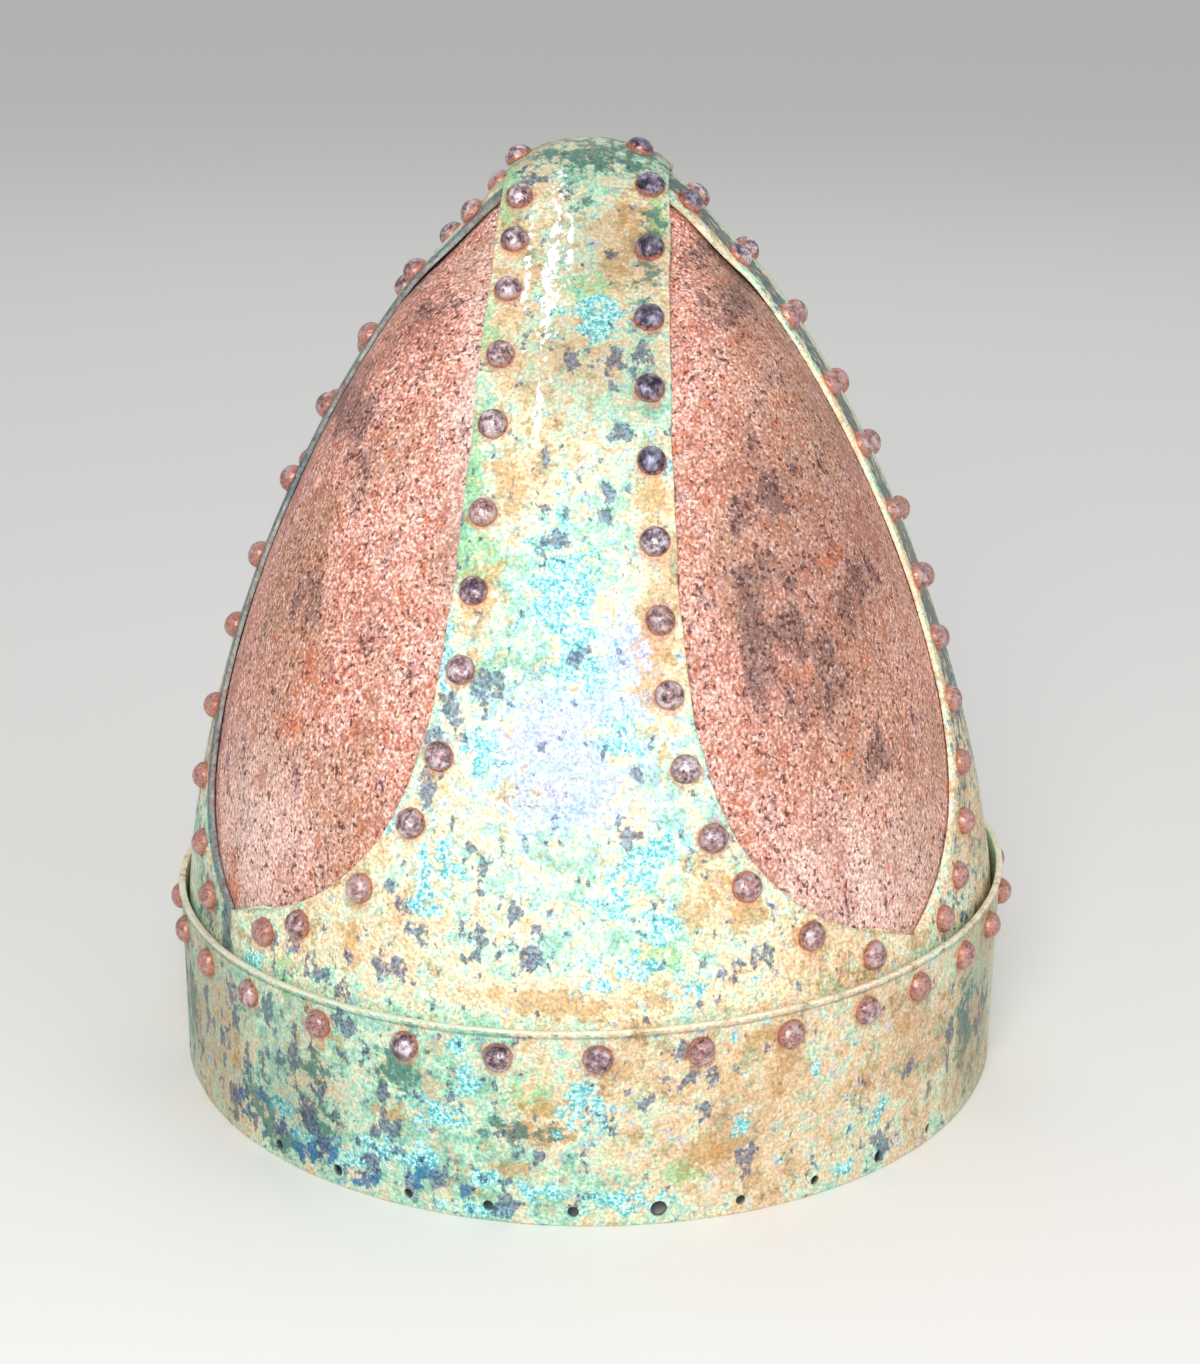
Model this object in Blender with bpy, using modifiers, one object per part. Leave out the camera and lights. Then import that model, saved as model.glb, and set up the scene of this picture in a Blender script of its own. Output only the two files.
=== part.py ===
"""Spangenhelm: bronze straps riveted over four iron plates, closed below by a bronze brow band.

Metres, +Z up. The helmet stands on its rim with the front facing -Y. The origin is the centre of
the rim on the floor. Azimuths are in degrees from the front, positive towards +X.

Layers from outside to inside: brow band, front-to-back strap, side straps, iron plates.
"""

import math

import bmesh
import bpy
from mathutils import Vector

MM = 0.001

# The dome: the outer face of the straps.
DOME_HALF_WIDTH = 98.1 * MM
LENGTH_RATIO = 1.11  # length over width at the brow
CROWN_HEIGHT = 218.4 * MM
SHOULDER_HEIGHT = 36.2 * MM  # below this the wall is upright
RISE_POWER = 1.526
SIDE_POWER = 0.637
CROWN_SOFTENING = 0.10  # how much the very top is flattened
CROWN_SHORTENING = 0.28  # how much less deep than wide the very top is
CROWN_SQUARENESS = 4.1  # superellipse exponent of the plan at the crown; 2 at the brow
LEAN = -0.013  # sideways drift of the hand-raised dome for each unit of height

# The brow band.
BAND_HALF_WIDTH = 100.0 * MM
BAND_RIM_TAPER = 0.993  # rim size over top edge size
BAND_HEIGHT = 45.6 * MM
BAND_HEIGHT_SLOPE = 2.8 * MM  # the band is this much taller at +X and lower at -X
BAND_LIP = 0.5 * MM  # the top edge is turned out by this
BAND_UPRIGHT = 9 * MM  # the wall is upright below this
BAND_SEGMENTS = 72

# Sheet thicknesses and the room between layers.
BRONZE = 1.2 * MM
IRON = 1.4 * MM
PLATE_INSET = 1.9 * MM  # dome face to the plates' outer face
CROSSING_DROP = 2.5 * MM  # the side straps pass this far under the front-to-back strap
CROSSING_FROM, CROSSING_TO = 186 * MM, 207 * MM  # heights between which they drop

# The straps: half-width by height is a slowly tapering neck plus a foot that flares out below.
FOOT_BOTTOM = 31.0 * MM
CORNER_HEIGHT = 51.3 * MM
SEAM_AZIMUTH = 50.0  # where the feet of neighbouring straps meet
SEAM_GAP = 0.4 * MM
FRONT_STRAP = {"neck": 19.3 * MM, "taper": 0.052, "flare": 51.3 * MM, "flare_height": 21.5 * MM}
SIDE_STRAP = {"neck": 14.5 * MM, "taper": 0.070, "flare": 41.0 * MM, "flare_height": 29.0 * MM}
NECK_HEIGHT = 201 * MM  # where "neck" is measured
SIDE_STRAP_END = 7 * MM  # the side straps stop this far from the middle, under the other strap
FOOT_ROWS, LEG_ROWS, STRAP_COLUMNS = 2, 17, 12

# The plates: gores that run under the straps' edges and down behind the brow band.
PLATE_OVERLAP = 10 * MM
PLATE_BOTTOM, PLATE_TOP = 32.5 * MM, 209.5 * MM
PLATE_ROWS, PLATE_COLUMNS = 13, 8

# Rivets.
RIVET_RADIUS = 3.3 * MM
RIVET_HEIGHT = 3.0 * MM
RIVET_INSET = 4.6 * MM  # strap edge to rivet centre
SIDE_FOOT_SHIFT = 2.6 * MM  # added to that inset towards the side straps' feet
SEAM_CLEARANCE = 3.7 * MM  # seam to rivet centre, at least
BAND_CLEARANCE = 0.8 * MM  # brow band's top edge to a strap's rivet head, at least
BROW_RIVET_DROP = 6.2 * MM  # band's top edge to rivet centre
BROW_RIVET_GAP = 0.3 * MM
FRONT_BROW_RIVETS = (-56.5, -44.8, -31.6, -18.8, -6.8, 5.3, 17.8, 29.6, 41.2, 50.9, 62.2, 72.6)
BROW_RIVET_COUNT = 31
CROWN_RIVETS = (11.4 * MM, -16.2 * MM)  # sideways places on the crown
# Distances in mm from one rivet to the next down each strap edge, hand-spaced where they are
# seen. The first is measured from the crown line on the front-to-back strap, and from the
# front-to-back strap's edge on the side straps.
RIVET_PITCHES = {
    "front_right": (24.3, 17.2, 19.6, 17.1, 16.6, 17.8, 17, 16, 15.9, 15.6, 12.8, 19.6, 19.2),
    "front_left": (28.3, 11.8, 14.1, 16.9, 16.3, 19.9, 17.2, 17.1, 18.9, 15.5, 19.1, 20.3, 13),
    "side_right": (9.6, 16.5, 17.5, 18.1, 15.5, 16.6, 16.2, 14.7, 14.6, 14.7, 13.7, 13.1, 13.1),
    "side_left": (14, 19, 18.4, 19.1, 19.3, 19.6, 17.5, 19.5, 16.7, 16.2, 14),
    "side_right_back": (11, 17, 19, 19.5, 17, 18.5, 19, 18.5, 20.5, 21),
    "side_left_back": (8, 17, 17, 17, 17, 17, 17, 17, 17, 17, 17),
    "plain": (22, 17, 17, 17, 17, 17, 17, 17, 17, 17, 17, 17),
}

# Lacing holes.
HOLE_COUNT = 34
HOLE_FIRST_ANGLE = 2.5
HOLE_RADIUS = 1.3 * MM
HOLE_HEIGHT = 3.6 * MM

MATERIALS = {
    "bronze_patina": ((0.36, 0.50, 0.40, 1), 0.6, 0.35),
    "rusted_iron": ((0.42, 0.22, 0.16, 1), 0.8, 0.2),
    "rivet_iron": ((0.20, 0.13, 0.13, 1), 0.55, 0.5),
}


# ---------------------------------------------------------------- geometry of the dome


def smoothstep(value, low, high):
    t = min(max((value - low) / (high - low), 0), 1)
    return t * t * (3 - 2 * t)


def section(height, inset):
    """Half-width, half-length and superellipse exponent of the dome's level section."""
    top = CROWN_HEIGHT - inset
    rise = min(max((height - SHOULDER_HEIGHT) / (top - SHOULDER_HEIGHT), 0), 1)
    power = SIDE_POWER - CROWN_SOFTENING * smoothstep(rise, 0.86, 1)
    width = (DOME_HALF_WIDTH - inset) * (1 - rise**RISE_POWER) ** power
    length = width * (1 + (LENGTH_RATIO - 1) * (1 - rise))
    length *= 1 - CROWN_SHORTENING * smoothstep(rise, 0.78, 1)
    return width, length, 2 + (CROWN_SQUARENESS - 2) * rise**1.5


def outside(x, y, height, inset):
    """Whether a point is outside the dome face that lies inset inwards."""
    if height >= CROWN_HEIGHT - inset:
        return True
    width, length, exponent = section(height, inset)
    if width <= 0:
        return True
    return (abs(x) / width) ** exponent + (abs(y) / length) ** exponent > 1


def cast(point_at, inset):
    """The point where the path point_at(distance) leaves the dome, by halving the distance."""
    near, far = 0.0, 0.3
    for _ in range(40):
        middle = (near + far) / 2
        if outside(*point_at(middle), inset):
            far = middle
        else:
            near = middle
    return Vector(point_at(near))


def on_level(azimuth, height, inset):
    """Dome point at an azimuth and a height."""
    turn = math.radians(azimuth)
    return cast(lambda d: (d * math.sin(turn), -d * math.cos(turn), height), inset)


def swap(point, to_side):
    """A front leg's point carried to the front (0), the back (2), or the side (1, 3)."""
    x, y, z = point
    return Vector({0: (x, y, z), 1: (-y, -x, z), 2: (x, -y, z), 3: (y, -x, z)}[to_side])


def lean(point):
    """The point carried sideways with the dome's slight lean, which starts above the brow band."""
    return point + Vector((LEAN * max(point.z - BAND_HEIGHT, 0), 0, 0))


def half_width(strap, height):
    """Half the strap's width at a height, foot flare included."""
    flare = strap["flare"] * math.exp(-(height - CORNER_HEIGHT) / strap["flare_height"])
    return strap["neck"] + strap["taper"] * (NECK_HEIGHT - height) + flare


def crossing_drop(height):
    return CROSSING_DROP * smoothstep(height, CROSSING_FROM, CROSSING_TO)


# ---------------------------------------------------------------- straps


class Leg:
    """One strap from its foot to the crown, worked out facing the front, then carried round.

    The side legs use the dome's section with width and length exchanged, so that all four
    share one construction.
    """

    def __init__(self, strap, side):
        self.strap, self.side = strap, side
        self.sideways = side in (1, 3)
        self.corner_angle = self._corner_angle()

    def inset_at(self, height):
        return crossing_drop(height) if self.sideways else 0.0

    def surface(self, lateral, angle):
        """Outer face at a sideways distance in the fan plane, carried to the leg's side."""
        turn = math.radians(angle)

        def path(inset):
            def at(d):
                along, height = -d * math.cos(turn), FOOT_BOTTOM + d * math.sin(turn)
                return (-along, -lateral, height) if self.sideways else (lateral, along, height)

            return cast(at, inset)

        point = path(0.0)
        drop = self.inset_at(point.z)
        if drop:
            point = path(drop)
        # Back to the front-facing layout, so that swap() can carry every leg alike.
        return Vector((-point.y, -point.x, point.z)) if self.sideways else point

    def edge(self, height):
        """The strap's edge at a height, in the front-facing layout, on the +lateral side."""
        lateral = half_width(self.strap, height)
        if self.sideways:
            point = cast(lambda d: (d, -lateral, height), self.inset_at(height))
            return Vector((-point.y, -point.x, point.z))
        return cast(lambda d: (lateral, -d, height), 0.0)

    def angle_of(self, point):
        return math.degrees(math.atan2(point.z - FOOT_BOTTOM, -point.y))

    def seam_half_width(self, angle):
        """Half-width out to the seam between the feet, in the fan plane at an angle."""
        turn = math.radians(angle)
        seam = math.radians(90 - SEAM_AZIMUTH if self.sideways else SEAM_AZIMUTH)

        def at(d):
            along, height = d * math.cos(turn), FOOT_BOTTOM + d * math.sin(turn)
            across = along * math.tan(seam)
            return (along, -across, height) if self.sideways else (across, -along, height)

        point = cast(at, 0.0)
        across = -point.y if self.sideways else point.x
        return across - SEAM_GAP / 2 / math.cos(seam)

    def free_half_width(self, angle):
        """Half-width from the strap's own outline, in the fan plane at an angle."""
        low, high = FOOT_BOTTOM, CROWN_HEIGHT - 4 * MM
        for _ in range(30):
            middle = (low + high) / 2
            if self.angle_of(self.edge(middle)) < angle:
                low = middle
            else:
                high = middle
        return half_width(self.strap, low)

    def _corner_angle(self):
        """The fan angle at which the outline meets the seam, at the window's lower corner."""
        low, high = 2.0, 40.0
        for _ in range(25):
            middle = (low + high) / 2
            if self.seam_half_width(middle) < self.free_half_width(middle):
                low = middle
            else:
                high = middle
        return low

    def width_at(self, angle):
        if angle <= self.corner_angle:
            return self.seam_half_width(angle)
        return self.free_half_width(angle)

    def angles(self):
        """Fan angles of the rows: even up the foot, then closer at the corner and the crown."""
        foot = [self.corner_angle * i / FOOT_ROWS for i in range(FOOT_ROWS)]
        rest = 90 - self.corner_angle
        ease = [(1 - math.cos(math.pi * i / LEG_ROWS)) / 2 for i in range(LEG_ROWS + 1)]
        return foot + [self.corner_angle + rest * (0.75 * e + 0.25 * i / LEG_ROWS)
                       for i, e in enumerate(ease)]

    def row(self, angle, across):
        """Outer-face point in one row; across runs from -1 to 1, even in azimuth."""
        half = self.width_at(angle)
        spread = math.asin(min(half / (DOME_HALF_WIDTH * 1.12), 0.95))
        lateral = half * math.sin(across * spread) / math.sin(spread)
        return self.surface(lateral, angle)

    def edge_path(self):
        """The edge from the crown down to the seam, in the front-facing layout."""
        angles = [90 - (90 - self.corner_angle) * i / 160 for i in range(161)]
        return [self.surface(self.width_at(a), a) for a in angles]

    def rivet_line(self):
        """The line that the rivets follow, inset from the edge, from the crown to the seam."""
        path = self.edge_path()
        line = []
        for i in range(1, len(path) - 1):
            tangent = (path[i + 1] - path[i - 1]).normalized()
            inward = tangent.cross(self.normal_at(path[i])).normalized()
            if inward.x > 0:
                inward.negate()
            shift = SIDE_FOOT_SHIFT * smoothstep(-path[i].z, -95 * MM, -60 * MM)
            place = path[i] + inward * (RIVET_INSET + (shift if self.sideways else 0))
            seam = self.seam_half_width(self.angle_of(place)) - SEAM_CLEARANCE
            place.x = min(place.x, seam)
            line.append(self.surface(place.x, self.angle_of(place)))
        return line

    def rivet_places(self, pitches, mirrored, start=0.0):
        """(position, outward normal) of each rivet, carried to the leg's side."""
        line = self.rivet_line()
        wanted, distance, places = start + pitches[0] * MM, 0.0, []
        left = list(pitches[1:])
        for a, b in zip(line, line[1:]):
            step = (b - a).length
            while wanted is not None and distance + step >= wanted:
                place = a.lerp(b, (wanted - distance) / step)
                normal = self.normal_at(place)
                if mirrored:
                    place, normal = (Vector((-v.x, v.y, v.z)) for v in (place, normal))
                places.append(above_band(lean(swap(place, self.side)), swap(normal, self.side)))
                wanted = wanted + left.pop(0) * MM if left else None
            distance += step
        return places

    def normal_at(self, point):
        angle, step = self.angle_of(point), 0.6
        up = self.surface(point.x, min(angle + step, 89.9)) - self.surface(point.x, angle - step)
        across = self.surface(point.x + MM, angle) - self.surface(point.x - MM, angle)
        normal = across.cross(up).normalized()
        return normal if normal.dot(point - Vector((0, 0, 0.08))) > 0 else -normal


# ---------------------------------------------------------------- mesh helpers


def make_object(name, bm, collection, material=None):
    mesh = bpy.data.meshes.new(name)
    bm.to_mesh(mesh)
    bm.free()
    obj = bpy.data.objects.new(name, mesh)
    collection.objects.link(obj)
    if material:
        mesh.materials.append(material)
    mesh.shade_smooth()
    mesh.set_sharp_from_angle(angle=math.radians(40))
    return obj


def face_outwards(bm):
    """Turns an open shell's faces away from the middle of the helmet."""
    bmesh.ops.recalc_face_normals(bm, faces=bm.faces)
    middle = Vector((0, 0, 0.07))
    if sum(f.normal.dot(f.calc_center_median() - middle) for f in bm.faces) < 0:
        bmesh.ops.reverse_faces(bm, faces=bm.faces)


def warped_grid(columns, rows, place, keep_fine=None):
    """A grid whose vertices are moved by place(column, row).

    Where keep_fine(row) is false, every second column line is dissolved.
    """
    bm = bmesh.new()
    bmesh.ops.create_grid(bm, x_segments=columns, y_segments=rows, size=1)
    cells = {}
    for vert in bm.verts:
        column = round((vert.co.x + 1) / 2 * columns)
        row = round((vert.co.y + 1) / 2 * rows)
        cells[vert] = (column, row)
        vert.co = place(column, row)
    if keep_fine:
        spare = [
            edge
            for edge in bm.edges
            if cells[edge.verts[0]][0] == cells[edge.verts[1]][0]
            and cells[edge.verts[0]][0] % 2 == 1
            and not any(keep_fine(cells[vert][1]) for vert in edge.verts)
        ]
        bmesh.ops.dissolve_edges(bm, edges=spare, use_verts=True)
    return bm


def solidify(obj, thickness):
    """Gives a sheet its thickness, inwards."""
    modifier = obj.modifiers.new("thickness", "SOLIDIFY")
    modifier.thickness = thickness
    modifier.offset = -1
    modifier.use_even_offset = True


def boolean(obj, tool, operation):
    modifier = obj.modifiers.new(operation.lower(), "BOOLEAN")
    modifier.operation = operation
    modifier.object = tool
    modifier.solver = "EXACT"
    tool.hide_render = True
    tool.display_type = "WIRE"


def add_turned(bm, create, place, axis, **sizes):
    """Adds one bmesh primitive, its own Z laid along axis and its centre at place."""
    made = create(bm, **sizes)["verts"]
    turn = Vector((0, 0, 1)).rotation_difference(axis)
    for vert in made:
        vert.co = turn @ vert.co + place


def make_material(name):
    color, roughness, metallic = MATERIALS[name]
    material = bpy.data.materials.new(name)
    material.use_nodes = True
    shader = material.node_tree.nodes["Principled BSDF"]
    shader.inputs["Base Color"].default_value = color
    shader.inputs["Roughness"].default_value = roughness
    shader.inputs["Metallic"].default_value = metallic
    material.diffuse_color = color
    return material


# ---------------------------------------------------------------- the pieces


# Places round the band are given by the angle of its ellipse: 0 at the front, 90 at +X.


def band_top(angle):
    return BAND_HEIGHT + BAND_HEIGHT_SLOPE * math.sin(math.radians(angle))


def band_normal(angle):
    turn = math.radians(angle)
    return Vector((math.sin(turn), -math.cos(turn) / LENGTH_RATIO, 0)).normalized()


def band_point(angle, height, out=0.0):
    """Outer face of the brow band, upright below BAND_UPRIGHT and tapered above."""
    turn = math.radians(angle)
    rise = min(max(height - BAND_UPRIGHT, 0) / (BAND_HEIGHT - BAND_UPRIGHT), 1)
    half = BAND_HALF_WIDTH * (BAND_RIM_TAPER + (1 - BAND_RIM_TAPER) * rise)
    face = Vector((half * math.sin(turn), -half * LENGTH_RATIO * math.cos(turn), height))
    return face + band_normal(angle) * out


def above_band(place, normal):
    """A strap rivet's (position, normal), slid up its strap until its head clears the band."""
    angle = math.degrees(math.atan2(place.x, -place.y / LENGTH_RATIO))
    lowest = band_top(angle) + RIVET_RADIUS + BAND_CLEARANCE
    if place.z < lowest:
        uphill = Vector((0, 0, 1)) - normal * normal.z
        place = place + uphill * (lowest - place.z) / uphill.z
    return place, normal


def make_brow_band(parts, cutters, material):
    lip_height = 1.6 * MM

    def place(column, row):
        angle = 360 * column / BAND_SEGMENTS
        top = band_top(angle)
        height = (0, BAND_UPRIGHT, top - lip_height, top)[row]
        return band_point(angle, height, BAND_LIP if row == 3 else 0)

    bm = warped_grid(BAND_SEGMENTS, 3, place)
    bmesh.ops.remove_doubles(bm, verts=bm.verts, dist=1e-6)
    face_outwards(bm)
    band = make_object("brow_band", bm, parts, material)
    solidify(band, BRONZE)

    holes = bmesh.new()
    for i in range(HOLE_COUNT):
        angle = HOLE_FIRST_ANGLE + 360 * i / HOLE_COUNT
        add_turned(holes, bmesh.ops.create_cone, band_point(angle, HOLE_HEIGHT),
                   band_normal(angle), segments=6, radius1=HOLE_RADIUS,
                   radius2=HOLE_RADIUS, depth=8 * MM, cap_ends=True)
    boolean(band, make_object("lacing_hole_cutter", holes, cutters), "DIFFERENCE")


def add_strap_rivets(strap, places, cutters):
    """Joins few-sided rivet heads to a strap, sunk a little into its sheet."""
    heads = bmesh.new()
    sunk = BRONZE / 2
    for place, normal in places:
        depth = RIVET_HEIGHT + sunk
        add_turned(heads, bmesh.ops.create_cone, place + normal * (depth / 2 - sunk), normal,
                   segments=6, radius1=RIVET_RADIUS, radius2=RIVET_RADIUS * 0.5,
                   depth=depth, cap_ends=True)
    boolean(strap, make_object(f"{strap.name}_rivets", heads, cutters), "UNION")


def make_front_to_back(parts, cutters, material):
    leg = Leg(FRONT_STRAP, 0)
    angles = leg.angles()
    last = len(angles) - 1
    fan = angles + [180 - a for a in reversed(angles[:-1])]

    def place(column, row):
        across = 2 * column / STRAP_COLUMNS - 1
        if row <= last:
            return lean(leg.row(fan[row], across))
        return lean(swap(leg.row(180 - fan[row], across), 2))

    narrow = FOOT_ROWS + 5
    bm = warped_grid(STRAP_COLUMNS, len(fan) - 1, place,
                     lambda row: row < narrow or row > 2 * last - narrow)
    face_outwards(bm)
    strap = make_object("spangen_front_to_back", bm, parts, material)
    solidify(strap, BRONZE)

    back = Leg(FRONT_STRAP, 2)
    crown = [(lean(leg.surface(lateral, 89)), leg.normal_at(leg.surface(lateral, 89)))
             for lateral in CROWN_RIVETS]
    places = crown + leg.rivet_places(RIVET_PITCHES["front_right"], False)
    places += leg.rivet_places(RIVET_PITCHES["front_left"], True)
    places += back.rivet_places(RIVET_PITCHES["plain"], False)
    places += back.rivet_places(RIVET_PITCHES["plain"], True)
    add_strap_rivets(strap, places, cutters)


def make_side(name, side, pitches, parts, cutters, material):
    """A side strap: side 1 is +X and side 3 is -X."""
    leg = Leg(SIDE_STRAP, side)
    angles = leg.angles()
    crown = leg.surface(0, 90).z
    end = math.degrees(math.atan2(crown - FOOT_BOTTOM, SIDE_STRAP_END))
    angles = [a for a in angles if a < end - 0.6] + [end]
    narrow = FOOT_ROWS + 5

    def place(column, row):
        across = 2 * column / STRAP_COLUMNS - 1
        return lean(swap(leg.row(angles[row], across), side))

    bm = warped_grid(STRAP_COLUMNS, len(angles) - 1, place, lambda row: row < narrow)
    face_outwards(bm)
    strap = make_object(name, bm, parts, material)
    solidify(strap, BRONZE)
    start = half_width(FRONT_STRAP, NECK_HEIGHT)
    places = leg.rivet_places(RIVET_PITCHES[pitches], False, start)
    places += leg.rivet_places(RIVET_PITCHES[f"{pitches}_back"], True, start)
    add_strap_rivets(strap, places, cutters)


def make_plate(name, x_sign, y_sign, parts, material):
    """One iron gore between two straps."""

    def tucked(strap, height):
        """The plate's edge under a strap, ignoring the strap's foot."""
        neck = strap["neck"] + strap["taper"] * (NECK_HEIGHT - height)
        return neck - PLATE_OVERLAP

    def place(column, row):
        height = PLATE_BOTTOM + (PLATE_TOP - PLATE_BOTTOM) * math.sin(math.pi / 2 * row / PLATE_ROWS)
        inset = PLATE_INSET + 1.3 * crossing_drop(height + 5 * MM)
        width, length, exponent = section(height, inset)
        near_front = math.degrees(math.asin(min(tucked(FRONT_STRAP, height) / width, 1)))
        near_side = math.degrees(math.acos(min(tucked(SIDE_STRAP, height) / length, 1)))
        azimuth = near_front + (near_side - near_front) * column / PLATE_COLUMNS
        point = on_level(azimuth, height, inset)
        return lean(Vector((point.x * x_sign, point.y * y_sign, point.z)))

    bm = warped_grid(PLATE_COLUMNS, PLATE_ROWS, place)
    face_outwards(bm)
    solidify(make_object(name, bm, parts, material), IRON)


def brow_rivet_angles():
    """The hand-spaced front rivets, then even ones round the back."""
    front = list(FRONT_BROW_RIVETS)
    rest = BROW_RIVET_COUNT - len(front)
    step = (360 - (front[-1] - front[0])) / (rest + 1)
    return front + [front[-1] + step * (i + 1) for i in range(rest)]


def make_brow_rivets(parts, material):
    """One dome for each rivet: a sphere whose lower half is pressed flat."""
    bm = bmesh.new()
    bmesh.ops.create_uvsphere(bm, u_segments=8, v_segments=4, radius=1)
    for vert in bm.verts:
        vert.co.x *= RIVET_RADIUS
        vert.co.y *= RIVET_RADIUS
        vert.co.z = max(vert.co.z, 0) * RIVET_HEIGHT
    shared = make_object("brow_rivet_01", bm, parts, material)
    for i, angle in enumerate(brow_rivet_angles()):
        rivet = shared if i == 0 else bpy.data.objects.new(f"brow_rivet_{i + 1:02d}", shared.data)
        if i:
            parts.objects.link(rivet)
        rivet.location = band_point(angle, band_top(angle) - BROW_RIVET_DROP, BROW_RIVET_GAP)
        rivet.rotation_mode = "QUATERNION"
        rivet.rotation_quaternion = Vector((0, 0, 1)).rotation_difference(band_normal(angle))


def main():
    for obj in list(bpy.data.objects):
        bpy.data.objects.remove(obj)
    parts = bpy.data.collections.new("spangenhelm")
    cutters = bpy.data.collections.new("cutters")
    for collection in (parts, cutters):
        bpy.context.scene.collection.children.link(collection)
    bronze, iron, rivets = (make_material(name) for name in MATERIALS)
    make_brow_band(parts, cutters, bronze)
    make_front_to_back(parts, cutters, bronze)
    make_side("spangen_right", 1, "side_right", parts, cutters, bronze)
    make_side("spangen_left", 3, "side_left", parts, cutters, bronze)
    for depth_name, y_sign in (("front", 1), ("back", -1)):
        for side_name, x_sign in (("right", 1), ("left", -1)):
            make_plate(f"plate_{depth_name}_{side_name}", x_sign, y_sign, parts, iron)
    make_brow_rivets(parts, rivets)


main()
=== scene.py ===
"""The looks of a riveted spangenhelm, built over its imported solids.

A bronze frame of straps, green with patina, is riveted over four rusted iron plates and closed
below by a bronze brow band. Metres, +Z up; the front faces -Y and the helmet stands on its rim.
Angles round the helmet are in degrees from the front, positive towards +X.

Layers from outside to inside: brow band, front-to-back strap, side straps, iron plates.
"""

import logging
import math
from dataclasses import dataclass, field
from enum import Enum
from functools import cached_property
from typing import Any, Callable, Sequence

import bmesh
import bpy
import numpy as np
from mathutils import Matrix, Vector, noise
from mathutils.bvhtree import BVHTree


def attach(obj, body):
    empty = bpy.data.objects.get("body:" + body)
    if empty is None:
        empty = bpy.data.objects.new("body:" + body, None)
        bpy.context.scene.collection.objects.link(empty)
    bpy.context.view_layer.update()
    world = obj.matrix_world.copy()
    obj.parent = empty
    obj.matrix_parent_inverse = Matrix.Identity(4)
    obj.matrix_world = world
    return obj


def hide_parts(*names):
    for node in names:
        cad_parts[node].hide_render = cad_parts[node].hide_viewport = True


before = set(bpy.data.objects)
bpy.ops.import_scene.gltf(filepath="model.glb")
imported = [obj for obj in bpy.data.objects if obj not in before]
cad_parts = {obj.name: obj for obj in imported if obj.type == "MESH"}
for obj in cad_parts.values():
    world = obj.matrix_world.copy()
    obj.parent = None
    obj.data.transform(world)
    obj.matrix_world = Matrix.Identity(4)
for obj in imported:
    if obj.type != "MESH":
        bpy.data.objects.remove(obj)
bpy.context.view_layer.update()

MM = 0.001
UP = np.array([0, 0, 1.0])
HEART = np.array([0, 0, 80 * MM])  # a point inside, which every outward normal faces away from
Array = np.ndarray
Socket = bpy.types.NodeSocket
Triple = tuple[float, float, float]
Colour = Triple  # 0 to 255, as it looks
Pitches = tuple[float, ...]
log = logging.getLogger("spangenhelm")


def smoothstep(value: Array | float, low: float, high: float) -> Array:
    """Eases from 0 at low to 1 at high.

    Args:
        value: Where to read the curve.
        low: Where it leaves 0.
        high: Where it reaches 1.

    Returns:
        The eased values.
    """
    t = np.clip((np.asarray(value, float) - low) / (high - low), 0, 1)
    return t * t * (3 - 2 * t)


def unit(vectors: Array) -> Array:
    """The vectors at length one."""
    return vectors / np.maximum(np.linalg.norm(vectors, axis=-1, keepdims=True), 1e-12)


def halved(
    low: Array, high: Array, steps: int, is_below: Callable[[Array], Array]
) -> Array:
    """Closes in on where a test turns false, by halving.

    Args:
        low: Values at which the test holds.
        high: Values at which it doesn't.
        steps: How often to halve.
        is_below: The test.

    Returns:
        The last values at which the test held.
    """
    for _ in range(steps):
        middle = (low + high) / 2
        below = is_below(middle)
        low, high = np.where(below, middle, low), np.where(below, high, middle)
    return low


def unevenness(points: Array, size: float, seed: float) -> Array:
    """Smooth noise between about -1 and 1.

    Args:
        points: Where to read it, one row for each point.
        size: How large its swells are, in metres.
        seed: Any number; another number gives other swells.

    Returns:
        One value for each point.
    """
    shift = Vector((seed * 1.37, seed * 0.71, seed * 2.13))
    return np.array([noise.noise(Vector(point) / size + shift) for point in points.tolist()])


# ---------------------------------------------------------------- the dome

CROSSING_DROP = 2.5 * MM  # the side straps pass this far under the front-to-back strap
CROSSING_HEIGHTS = (186 * MM, 207 * MM)  # between which they drop


class Side(Enum):
    """Which way a strap's leg comes down: (the way it faces, its sideways direction)."""

    FRONT = ((0, -1, 0), (1, 0, 0))
    RIGHT = ((1, 0, 0), (0, -1, 0))
    BACK = ((0, 1, 0), (1, 0, 0))
    LEFT = ((-1, 0, 0), (0, -1, 0))

    @property
    def forward(self) -> Array:
        """The way the leg faces."""
        return np.array(self.value[0], float)

    @property
    def lateral(self) -> Array:
        """The leg's sideways direction."""
        return np.array(self.value[1], float)

    @property
    def sideways(self) -> bool:
        """Whether this is one of the side straps."""
        return self in (Side.RIGHT, Side.LEFT)


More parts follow.
